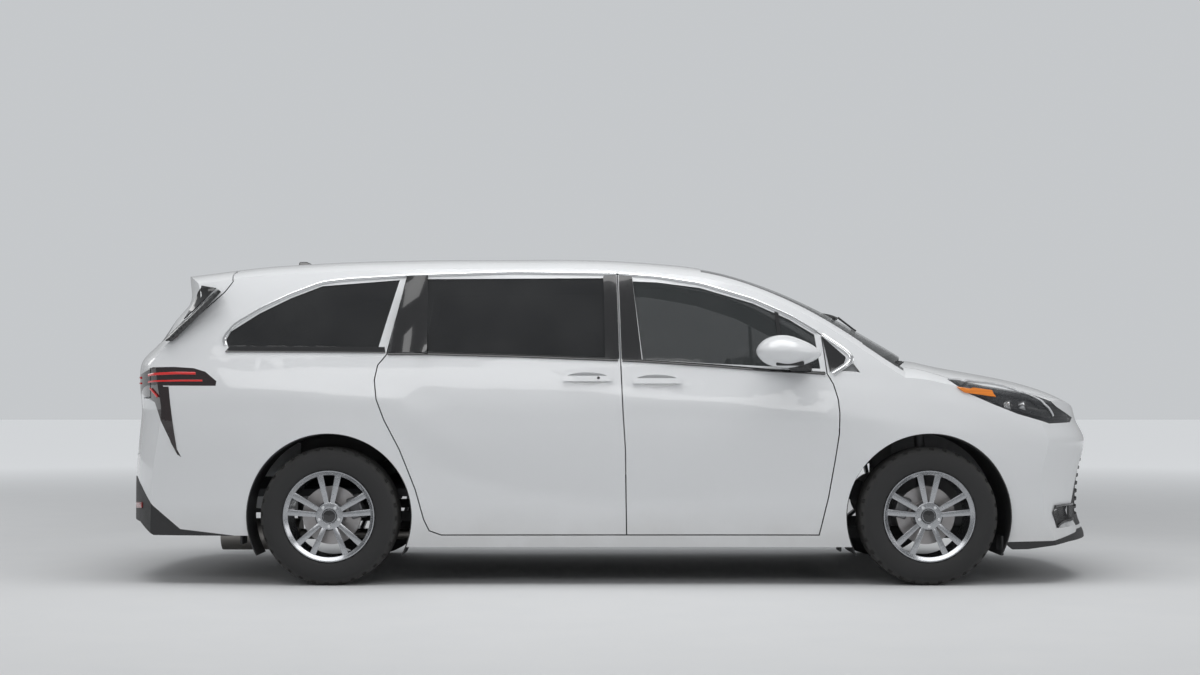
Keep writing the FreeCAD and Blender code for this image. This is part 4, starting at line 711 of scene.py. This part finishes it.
STRIPS = (
    ("window_bright_rear_", CHROME_REAR, 0.016, 0.006, CHROME, False),
    ("window_bright_door_", CHROME_DOOR, 0.016, 0.006, CHROME, True),
    ("window_bright_front_", CHROME_NOSE, 0.020, 0.006, CHROME, False),
    ("belt_strip_rear_", BELT_REAR, 0.016, 0.007, BLACK_GLOSS, False),
    ("belt_strip_door_", BELT_DOOR, 0.016, 0.007, BLACK_GLOSS, True),
)
COVERS = (
    ("pillar_cover_rear_", [(-0.047, 1.592), (0.021, 1.594), (0.035, 1.158), (-0.038, 1.160)], 0.0015, False),
    ("pillar_cover_door_", [(0.033, 1.594), (0.102, 1.588), (0.150, 1.150), (0.047, 1.157)], 0.0015, True),
    ("quarter_cover_", [(-1.052, 1.583), (-0.957, 1.592), (-0.947, 1.190), (-1.148, 1.188)], 0.0015, False),
    ("quarter_base_", [(-1.960, 1.222), (-1.166, 1.217), (-1.160, 1.186), (-1.985, 1.192)], 0.0020, False),
    ("fixed_corner_", [(1.078, 1.272), (1.196, 1.165), (1.185, 1.136), (1.112, 1.090)], 0.0015, False),
    ("door_corner_", [(0.838, 1.404), (0.858, 1.396), (0.884, 1.118), (0.862, 1.118)], 0.0020, True),
)
for side, hand in SIDES:
    hit = side_hit(side)
    door = "front_door_" + hand
    for name, path, wide, thick, look, on_door in STRIPS:
        band(name + hand, path, wide, thick, look, door if on_door else "root", hit)
    for name, outline, thick, on_door in COVERS:
        patch(name + hand, outline, thick, BLACK_GLOSS, door if on_door else "root", hit)
print("window trims made")

# %% [markdown]
# ## Lock caps, flaps, blades and plates
# The photograph's small pieces: a lock's cap in front of the sliding door's pull, mud flaps at the arches
# and black blades beside the rear glass. The far side and the ends carry the usual ones, with blank plates.

# %%
def disc(name, x, z, side, radius, look, body):
    """A small round cap on the side's skin."""
    place, out = side_hit(side)(x, z)
    bm = bmesh.new()
    cap = [(-0.002, radius), (0.0012, radius), (0.0022, radius * 0.8), (0.0024, 0.0)]
    spun(bm, cap, 24)
    bmesh.ops.rotate(bm, verts=bm.verts, cent=(0, 0, 0),
                     matrix=Vector((0.0, 1.0, 0.0)).rotation_difference(out).to_matrix())
    put(bm, name, look, place, body)


def plate(name, z, sign, body):
    """A blank number plate in a thin black frame."""
    slab("plate_frame_" + name, z, 0.165, 0.066, 0.008, BLACK, body, sign)
    slab("plate_blank_" + name, z, 0.155, 0.056, 0.011, PALE_LENS, body, sign)


BLADE_FRONT = [(-2.044, 1.528), (-2.006, 1.501), (-2.146, 1.354), (-2.259, 1.247), (-2.306, 1.254)]
BLADE_BACK = [(-2.134, 1.540), (-2.056, 1.527), (-2.210, 1.367)]
for side, hand in SIDES:
    hit = side_hit(side)
    disc("lock_cap_" + hand, -0.072, 1.059, side, 0.0075, BLACK_GLOSS, "root")
    patch("rear_blade_" + hand, BLADE_FRONT, 0.0015, BLACK_GLOSS, "root", hit)
    patch("gate_blade_" + hand, BLADE_BACK, 0.0015, BLACK_GLOSS, "tailgate", hit)
    near, far = sorted((side * 0.80, side * 0.925))
    flaps = ((-1.905, 0.205, 0.440), (1.160, 0.170, 0.440), (1.990, 0.150, 0.250))
    blocks("mud_flaps_" + hand, BLACK, "root",
           *[((x, near, low), (x + 0.012, far, high), 0.004) for x, low, high in flaps])
plate("rear", 0.850, -1, "tailgate")
plate("front", 0.480, 1, "root")
print("small outer pieces made")

# %% [markdown]
# ## Roof fin and wipers

# %%
def fin():
    """A small shark fin on the roof."""
    bm = bmesh.new()
    made = block(bm, (-0.075, -0.022, 0.0), (0.075, 0.022, 0.045))
    for vert in made:
        if vert.co.z > 0.02:
            vert.co.x = vert.co.x * 0.28 - 0.048
            vert.co.y *= 0.25
    bmesh.ops.bevel(bm, geom=bm.edges[:], offset=0.007, segments=3, profile=0.5, affect="EDGES", material=-1)
    place, out = top_hit(-1.69, 0.0)
    put(bm, "roof_fin", BLACK_GLOSS, place + Vector((0.0, 0.0, -0.006)), "root")


fin()


def bar(bm, a, b, radius, segments=10):
    """A round bar between two points."""
    a, b = Vector(a), Vector(b)
    made = bmesh.ops.create_cone(bm, cap_ends=True, segments=segments, radius1=radius, radius2=radius,
                                 depth=(b - a).length)["verts"]
    bmesh.ops.rotate(bm, verts=made, cent=(0, 0, 0),
                     matrix=Vector((0.0, 0.0, 1.0)).rotation_difference(b - a).to_matrix())
    bmesh.ops.translate(bm, vec=(a + b) / 2, verts=made)


def wiper(name, foot, tip, hit, body, lift=0.018):
    """A wiper's arm from its pivot to the middle of its blade."""
    bm = bmesh.new()
    (start, out), (end, away) = hit(*foot), hit(*tip)
    bar(bm, start - out * 0.01, start + out * 0.022, 0.014)
    bar(bm, start + out * 0.018, end + away * lift, 0.0055)
    link(bm, "wiper_arm_" + name, BLACK, body)


WIPERS = (
    ("left", (1.335, 0.520), (1.190, 0.130), [(1.130, 0.420), (1.185, 0.130), (1.205, -0.200)]),
    ("right", (1.350, -0.060), (1.215, -0.420), [(1.180, -0.080), (1.210, -0.420), (1.165, -0.660)]),
)
for name, foot, tip, blade in WIPERS:
    wiper(name, foot, tip, top_hit, "root")
for name, foot, tip, blade in WIPERS:
    band("wiper_blade_" + name, blade, 0.016, 0.014, BLACK, "root", top_hit)
tail = end_hit(-1)
wiper("rear", (0.0, 1.185), (0.210, 1.266), tail, "tailgate")
band("wiper_blade_rear", [(0.030, 1.268), (0.210, 1.274), (0.400, 1.266)], 0.014, 0.012, BLACK,
     "tailgate", tail)
print("roof and wiper trims made")

# %% [markdown]
# ## Lamps
# Behind the clear lens: a dark housing, two projectors, a bright light guide along the top and an amber marker.

# %%
def projector(name, x, z, side):
    """A round lens in a bright ring, set into the lamp and facing forward and out."""
    place, out = side_hit(side)(x, z)
    aim = (out * 0.55 + Vector((0.85, 0.0, 0.0))).normalized()
    turn = Vector((0.0, 1.0, 0.0)).rotation_difference(aim).to_matrix()
    bm = bmesh.new()
    spun(bm, [(-0.030, 0.020), (-0.006, 0.027), (0.000, 0.028), (0.002, 0.026), (0.000, 0.0235),
              (-0.004, 0.0225)], 40)
    bmesh.ops.rotate(bm, verts=bm.verts, cent=(0, 0, 0), matrix=turn)
    put(bm, "projector_ring_" + name, CHROME, place - aim * 0.030, "root")
    bm = bmesh.new()
    made = bmesh.ops.create_uvsphere(bm, u_segments=32, v_segments=16, radius=0.0225)["verts"]
    bmesh.ops.scale(bm, vec=(1.0, 0.6, 1.0), verts=made)
    bmesh.ops.rotate(bm, verts=bm.verts, cent=(0, 0, 0), matrix=turn)
    put(bm, "projector_lens_" + name, BLACK_GLOSS, place - aim * 0.034, "root")


LIGHT_GUIDE = [(1.725, 1.047), (1.825, 1.041), (1.946, 1.030), (2.027, 1.014), (2.157, 0.967), (2.214, 0.937),
               (2.258, 0.896), (2.276, 0.864)]
HOUSING_EDGE = [(1.720, 1.040), (1.940, 1.020), (2.020, 1.004), (2.150, 0.958), (2.250, 0.890), (2.262, 0.850),
                (2.160, 0.868), (2.040, 0.905), (1.930, 0.945), (1.800, 0.990)]
MARKER = [(1.759, 1.015), (1.944, 0.990), (1.963, 0.963), (1.797, 0.984)]
INTAKE = [(2.266, 0.365), (2.282, 0.396), (2.340, 0.399), (2.416, 0.398), (2.414, 0.319), (2.317, 0.304),
          (2.300, 0.289)]
for side, hand in SIDES:
    hit = side_hit(side)
    patch("lamp_housing_" + hand, HOUSING_EDGE, 0.002, HOUSING, "root", hit, lift=-0.045)
    band("light_guide_" + hand, LIGHT_GUIDE, 0.014, 0.003, PALE_LENS, "root", hit, lift=0.0004)
    patch("side_marker_" + hand, MARKER, 0.0012, AMBER, "root", hit, lift=0.001, cuts=0.012)
    for name, x, z in (("low", 2.071, 0.924), ("high", 2.150, 0.920)):
        projector(name + "_" + hand, x, z, side)
    patch("intake_mesh_" + hand, INTAKE, 0.001, MESH, "root", hit)
    band("intake_top_" + hand, INTAKE[1:4], 0.012, 0.008, BLACK_GLOSS, "root", hit)
    band("intake_foot_" + hand, [INTAKE[6], INTAKE[5], INTAKE[4]], 0.016, 0.010, BLACK_GLOSS, "root", hit)
print("front lamps made")

# %% [markdown]
# The tail lamps are smoked black, with two red light bars, and a slanting one above a leg that runs down
# the wing.

# %%
SIDE_BARS = (
    ("upper", [(-2.392, 1.074), (-2.350, 1.079), (-2.228, 1.084), (-2.132, 1.082)], 0.013, 0.004),
    ("lower", [(-2.392, 1.039), (-2.338, 1.043), (-2.226, 1.045), (-2.095, 1.045)], 0.009, 0.004),
    ("slanting", [(-2.378, 1.004), (-2.352, 0.985), (-2.325, 0.962)], 0.010, 0.004),
)
GATE_BARS = ((1062, 0.013), (1033, 0.009))
LEG = [(-2.318, 1.014), (-2.272, 1.014), (-2.262, 0.938), (-2.243, 0.800), (-2.222, 0.664), (-2.258, 0.730),
       (-2.300, 0.880)]
for side, hand in SIDES:
    hit = side_hit(side)
    for name, path, wide, thick in SIDE_BARS:
        band("tail_bar_" + name + "_" + hand, path, wide, thick, RED_GLOW, "root", hit)
    patch("tail_leg_" + hand, LEG, 0.0008, SMOKE, "root", hit, lift=0.0004, cuts=0.015)
    for level, wide in GATE_BARS:
        path = [(side * reach, level / 1000) for reach in (0.640, 0.460)]
        band("gate_bar_%d_%s" % (level, hand), path, wide, 0.004, RED_GLOW, "tailgate", tail)
    band("reflector_" + hand, [(side * 0.780, 0.400), (side * 0.640, 0.392)], 0.030, 0.004, LENS_RED,
         "root", tail)
STOP_LAMP = [(-0.160, 1.592), (0.0, 1.594), (0.160, 1.592)]
band("stop_lamp", STOP_LAMP, 0.016, 0.004, LENS_RED, "tailgate", tail)
print("tail lamps made")

# %% [markdown]
# ## Door mirrors
# A painted cap over a black base, with a black lower strip and a silvered glass that faces back.

# %%
def silvered():
    """A mirror's glass: nearly clear of haze."""
    look = Finish("mirror_silver", Metallic=1.0)
    haze = look.noise(60.0, 3.0)
    look.feed("Base Color", look.mix(haze, rgb(0.82, 0.83, 0.85), rgb(0.88, 0.89, 0.90)))
    look.rough(haze, 0.01, 0.04)
    return look.material


SILVERED = silvered()
MIRROR_X, MIRROR_Y, MIRROR_Z = 0.885, 1.075, 1.192


def door_mirror(side, hand):
    """The four pieces of one mirror, which ride its door."""
    body = "front_door_" + hand
    place = (MIRROR_X, side * MIRROR_Y, MIRROR_Z)
    bm = bmesh.new()
    bmesh.ops.create_cube(bm, size=1.0)
    bmesh.ops.subdivide_edges(bm, edges=bm.edges[:], cuts=3, use_grid_fill=True, smooth=0.6)
    for vert in bm.verts:
        ahead = max(0.0, vert.co.x + 0.25)
        vert.co = Vector((vert.co.x * 0.190, vert.co.y * 0.168 * (1.0 - 0.25 * ahead), vert.co.z * 0.105))
        vert.co.z = vert.co.z * (1.0 - 0.35 * ahead) - 0.012 * ahead
    cap = put(bm, "mirror_cap_" + hand, PAINT, place, body, 80.0)
    smooth = cap.modifiers.new("round", "SUBSURF")
    smooth.levels = smooth.render_levels = 2
    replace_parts(cap, "door_mirror_" + hand)
    bm = bmesh.new()
    block(bm, (-0.070, -0.085, -0.074), (0.070, 0.085, -0.050), 0.010, 3)
    put(bm, "mirror_lower_" + hand, BLACK, place, body)
    bm = bmesh.new()
    block(bm, (-0.099, -0.082, -0.045), (-0.095, 0.082, 0.042), 0.0015, 1)
    put(bm, "mirror_glass_" + hand, SILVERED, place, body)
    inner = side_hit(side)(0.955, 1.118)[0].y - side * 0.012
    bm = bmesh.new()
    for vert in bmesh.ops.create_cube(bm, size=1.0)["verts"]:
        a, b, c = vert.co
        if b * side < 0:
            vert.co = Vector((0.975 + a * 0.110, inner, 1.108 + c * 0.050))
        else:
            vert.co = Vector(place) + Vector((0.035 + a * 0.085, side * -0.045, c * 0.036 - 0.062))
    bmesh.ops.bevel(bm, geom=bm.edges[:], offset=0.008, segments=3, profile=0.5, affect="EDGES", material=-1)
    link(bm, "mirror_foot_" + hand, BLACK, body)


for side, hand in SIDES:
    door_mirror(side, hand)
print("mirrors made")

# %% [markdown]
# ## Upholstery
# Every seat is a padded cushion, a bolstered back and a headrest on two posts; the plain CAD form gives
# the place.

# %%
def soft_block(bm, low, high, cuts=5, puff=0.0, lean=0.0, pivot=(0.0, 0.0, 0.0)):
    """A rounded, slightly puffed block, leaned about a pivot: the start of every cushion."""
    made = bmesh.ops.create_cube(bm, size=2.0)["verts"]
    edges = list({edge for vert in made for edge in vert.link_edges})
    bmesh.ops.subdivide_edges(bm, edges=edges, cuts=cuts, use_grid_fill=True)
    size = Vector([(b - a) / 2 for a, b in zip(low, high)])
    middle = Vector([(a + b) / 2 for a, b in zip(low, high)])
    turn = Matrix.Rotation(math.radians(lean), 3, "Y")
    for vert in bm.verts:
        if vert.tag:
            continue
        unit, power = vert.co.copy(), 6.0
        length = sum(abs(value) ** power for value in unit) ** (1.0 / power)
        unit *= max(abs(value) for value in unit) / length
        swell = 1.0 + puff * max(0.0, 1.0 - (unit.x ** 2 + unit.y ** 2) / 2.0)
        shaped = Vector((unit.x * size.x, unit.y * size.y, unit.z * size.z * swell)) + middle
        vert.co = turn @ (shaped - Vector(pivot)) + Vector(pivot)
        vert.tag = True


CLOTH_FRAMES, CLOTH_PRESSURE, CLOTH_VOXEL, CLOTH_CAP = 20, 4.0, 0.012, 0.012


def swelled(item):
    """Remeshes a cushion evenly and lets it swell as cloth under pressure; no point moves past the cap."""
    scene = bpy.context.scene
    work = bpy.data.objects.new("cushion_work", item.data.copy())
    scene.collection.objects.link(work)
    even = work.modifiers.new("even", "REMESH")
    even.mode, even.voxel_size = "VOXEL", CLOTH_VOXEL
    mesh = bpy.data.meshes.new_from_object(work.evaluated_get(bpy.context.evaluated_depsgraph_get()))
    work.modifiers.clear()
    work.data = mesh
    swell = work.modifiers.new("swell", "CLOTH")
    swell.settings.use_pressure = True
    swell.settings.uniform_pressure_force = CLOTH_PRESSURE
    swell.settings.effector_weights.gravity = 0.0
    swell.point_cache.frame_start, swell.point_cache.frame_end = 1, CLOTH_FRAMES
    for step in range(1, CLOTH_FRAMES + 1):
        scene.frame_set(step)
    done = bpy.data.meshes.new_from_object(work.evaluated_get(bpy.context.evaluated_depsgraph_get()))
    for vert, rest in zip(done.vertices, mesh.vertices):
        move = vert.co - rest.co
        if move.length > CLOTH_CAP:
            vert.co = rest.co + move * (CLOTH_CAP / move.length)
    scene.frame_set(1)
    for face in done.polygons:
        face.use_smooth = True
    done.materials.clear()
    done.materials.append(item.data.materials[0])
    item.data = done
    item.modifiers.new("soft", "SUBSURF").levels = 1
    item.modifiers["soft"].render_levels = 1
    bpy.data.objects.remove(work)
    print("swelled", item.name, len(done.polygons))
    return item


def seat(name, x, y, floor, width, places=1):
    """Cushion with bolsters, leaning back, and one headrest with two posts for each place."""
    top = floor + 0.14
    half = width / 2
    bolster = 0.085
    cloth_mesh = bmesh.new()
    side_mesh = bmesh.new()
    lean = {"lean": -11.0, "pivot": (x - 0.44, y, top + 0.12)}
    soft_block(cloth_mesh, (x - 0.47, y - half + bolster * 0.8, top - 0.01),
               (x, y + half - bolster * 0.8, top + 0.125), 7, 0.10)
    soft_block(cloth_mesh, (x - 0.505, y - half + bolster * 0.8, top + 0.10),
               (x - 0.40, y + half - bolster * 0.8, top + 0.72), 7, 0.0, **lean)
    for end in (-1, 1):
        outer, inner = sorted((y + end * half, y + end * (half - bolster)))
        soft_block(side_mesh, (x - 0.46, outer, top - 0.02), (x - 0.01, inner, top + 0.145))
        soft_block(side_mesh, (x - 0.50, outer, top + 0.10), (x - 0.372, inner, top + 0.66), **lean)
    middles = [y] if places == 1 else [y - half + width * (number + 0.5) / places for number in range(places)]
    for middle in middles:
        soft_block(cloth_mesh, (x - 0.500, middle - 0.130, top + 0.745),
                   (x - 0.405, middle + 0.130, top + 0.905), **lean)
    cushion = swelled(link(cloth_mesh, "seat_cloth_" + name, SEAT, "root", 50.0))
    link(side_mesh, "seat_bolsters_" + name, SEAT_SIDE, "root", 50.0)
    metal_mesh = bmesh.new()
    for middle in middles:
        for end in (-1, 1):
            bar(metal_mesh, (x - 0.452, middle + end * 0.06, top + 0.68),
                (x - 0.452, middle + end * 0.06, top + 0.78), 0.006)
    bmesh.ops.rotate(metal_mesh, verts=metal_mesh.verts, cent=lean["pivot"],
                     matrix=Matrix.Rotation(math.radians(lean["lean"]), 3, "Y"))
    link(metal_mesh, "headrest_posts_" + name, CHROME, "root")
    boxes = [((x - 0.42, y - half * 0.82, floor + 0.03), (x - 0.06, y + half * 0.82, top + 0.01), 0.015, 3)]
    for end in (-1, 1):
        rail = y + end * half * 0.72
        boxes.append(((x - 0.46, rail - 0.02, floor + 0.0005), (x - 0.02, rail + 0.02, floor + 0.035),
                      0.004, 1))
    blocks("seat_base_" + name, CABIN, "root", *boxes)
    return cushion


PAIRS = (("front", "front_seats", 0.480), ("middle", "middle_seats", -0.330))
for row, node_name, x in PAIRS:
    for side, hand in SIDES:
        made = seat(row + "_" + hand, x, side * 0.390, 0.290, 0.520)
        if side == 1:
            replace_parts(made, node_name)
made = seat("bench", -1.196, 0.0, 0.480, 1.180, 3)
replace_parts(made, "rear_bench")
print("seats made")

# %% [markdown]
# ## Dashboard, console and steering wheel

# %%
SCREEN = gloss("dark_screen", (0.006, 0.007, 0.010), 0.05)
blocks("centre_screen", SCREEN, "root", ((0.735, -0.13, 1.035), (0.752, 0.14, 1.175), 0.006, 2),
       ((0.752, -0.04, 1.030), (0.790, 0.05, 1.110), 0.010, 2))
blocks("gauge_hood", CABIN, "root", ((0.765, 0.245, 1.045), (0.90, 0.535, 1.125), 0.030, 4))
blocks("gauge_face", SCREEN, "root", ((0.760, 0.265, 1.052), (0.768, 0.515, 1.112), 0.003, 1))
blocks("air_vents", DARK_CHROME, "root",
       *[((0.726, low, 1.000 - level * 0.012), (0.738, high, 1.006 - level * 0.012), 0.001, 1)
         for low, high in ((-0.64, -0.50), (-0.30, -0.17), (0.17, 0.235), (0.56, 0.64)) for level in range(4)])
console = blocks("console_cover", CABIN, "root", ((-0.06, -0.115, 0.2905), (0.80, 0.115, 0.56), 0.040, 4),
                 ((-0.12, -0.110, 0.50), (0.20, 0.110, 0.64), 0.030, 4))
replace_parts(console, "centre_console")
bm = bmesh.new()
for place in (0.30, 0.40):
    made = bmesh.ops.create_cone(bm, cap_ends=False, segments=32, radius1=0.038, radius2=0.038, depth=0.010)
    bmesh.ops.translate(bm, vec=(place, -0.045, 0.5635), verts=made["verts"])
block(bm, (0.56, 0.015, 0.558), (0.60, 0.045, 0.640), 0.012, 3)
link(bm, "console_trim", DARK_CHROME, "root")
print("cabin trim made")


def steering():
    """A leather rim on three spokes with a padded boss, leaned like the column."""
    lean = Matrix.Rotation(math.radians(-65.0), 4, "Y")
    place = Matrix.Translation((0.610, 0.390, 1.0027)) @ lean
    bm = bmesh.new()
    ring = [math.tau * turn / 16 for turn in range(17)]
    verts = [bm.verts.new((0.185 + math.cos(turn) * 0.0155, 0.0, math.sin(turn) * 0.0145)) for turn in ring]
    edges = [bm.edges.new(pair) for pair in zip(verts, verts[1:])]
    bmesh.ops.spin(bm, geom=verts + edges, cent=(0, 0, 0), axis=(0, 0, 1), angle=math.tau, steps=64,
                   use_merge=True)
    bmesh.ops.remove_doubles(bm, verts=bm.verts, dist=0.00001)
    bmesh.ops.transform(bm, matrix=place, verts=bm.verts)
    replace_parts(link(bm, "steering_rim", CABIN, "steering_wheel", 60.0), "steering_wheel")
    bm = bmesh.new()
    for turn in (90.0, -90.0, 180.0):
        part = bmesh.new()
        block(part, (0.045, -0.020, -0.012), (0.178, 0.020, 0.004), 0.006, 2)
        joined(bm, part, Matrix.Rotation(math.radians(turn), 4, "Z"))
    block(bm, (-0.062, -0.072, -0.030), (0.058, 0.072, 0.014), 0.020, 4)
    bar(bm, (0.0, 0.0, -0.255), (0.0, 0.0, -0.01), 0.0215, 24)
    bmesh.ops.transform(bm, matrix=place, verts=bm.verts)
    link(bm, "steering_boss", SEAT_SIDE, "steering_wheel")


steering()

# %% [markdown]
# ## Floor, light and camera
# A pale floor that fades into the backdrop, four large soft lamps, and the photograph's long-lens side view.

# %%
def backdrop():
    """The floor: pale to the camera and to reflections, dimmer as a source of bounced light."""
    bm = bmesh.new()
    bmesh.ops.create_grid(bm, x_segments=1, y_segments=1, size=60.0)
    mesh = bpy.data.meshes.new("studio_floor")
    bm.to_mesh(mesh)
    bm.free()
    floor = bpy.data.objects.new("studio_floor", mesh)
    bpy.context.scene.collection.objects.link(floor)
    look = Finish("pale_floor", Roughness=0.7)
    speck = look.noise(3.0, 4.0)
    look.feed("Base Color", look.mix(speck, rgb(0.64, 0.65, 0.66), rgb(0.68, 0.685, 0.69)))
    look.bump(look.noise(90.0, 3.0), 0.05, 0.001)
    x, y, z = look.axes()
    fade = (((x * x + y * y).math("SQRT") - 4.5) * 0.09).math("MAXIMUM", 0.0).math("MINIMUM", 1.0)
    look.feed("Emission Color", look.mix(fade, rgb(0.0, 0.0, 0.0), rgb(0.40, 0.41, 0.42)))
    look.shader.inputs["Emission Strength"].default_value = 1.0
    mesh.materials.append(look.material)


def lamp(name, place, target, size, power):
    light = bpy.data.lights.new(name, "AREA")
    light.shape, light.size, light.size_y, light.energy = "RECTANGLE", size[0], size[1], power
    item = bpy.data.objects.new(name, light)
    item.location = place
    item.rotation_euler = (Vector(target) - Vector(place)).to_track_quat("-Z", "Y").to_euler()
    bpy.context.scene.collection.objects.link(item)


backdrop()
world = bpy.data.worlds.new("studio_air")
world.use_nodes = True
bpy.context.scene.world = world
sky = world.node_tree.nodes["Background"]
sky.inputs["Color"].default_value = rgb(0.86, 0.88, 0.90)
sky.inputs["Strength"].default_value = 0.40
air, wires = world.node_tree.nodes, world.node_tree.links
seen = air.new("ShaderNodeBackground")
seen.inputs["Color"].default_value = rgb(0.66, 0.68, 0.70)
seen.inputs["Strength"].default_value = 0.85
choice = air.new("ShaderNodeMixShader")
for number, source in enumerate((air.new("ShaderNodeLightPath").outputs["Is Camera Ray"], sky.outputs[0],
                                 seen.outputs[0])):
    wires.new(source, choice.inputs[number])
wires.new(choice.outputs[0], air["World Output"].inputs[0])
LAMPS = (
    ("overhead", (0.0, -1.5, 6.0), (0.0, 0.0, 0.5), (9.0, 4.0), 300.0),
    ("near_side", (-1.5, -9.0, 5.0), (0.0, 0.0, 0.6), (8.0, 2.0), 95.0),
    ("nose_side", (8.0, -3.0, 3.5), (1.5, 0.0, 0.6), (4.0, 3.0), 60.0),
    ("tail_side", (-8.0, 3.0, 3.5), (-1.5, 0.0, 0.6), (4.0, 3.0), 60.0),
)
for settings in LAMPS:
    lamp(*settings)

camera = bpy.data.objects.new("camera", bpy.data.cameras.new("camera"))
camera.location = (-0.064, -9.98, 0.971)
camera.rotation_euler = (math.radians(90.0), 0.0, 0.0)
camera.data.lens = 53.1
camera.data.shift_y = 0.048
bpy.context.scene.collection.objects.link(camera)
bpy.context.scene.camera = camera
bpy.context.scene.view_settings.view_transform = "Standard"
print("camera", camera.location[:], camera.data.lens)
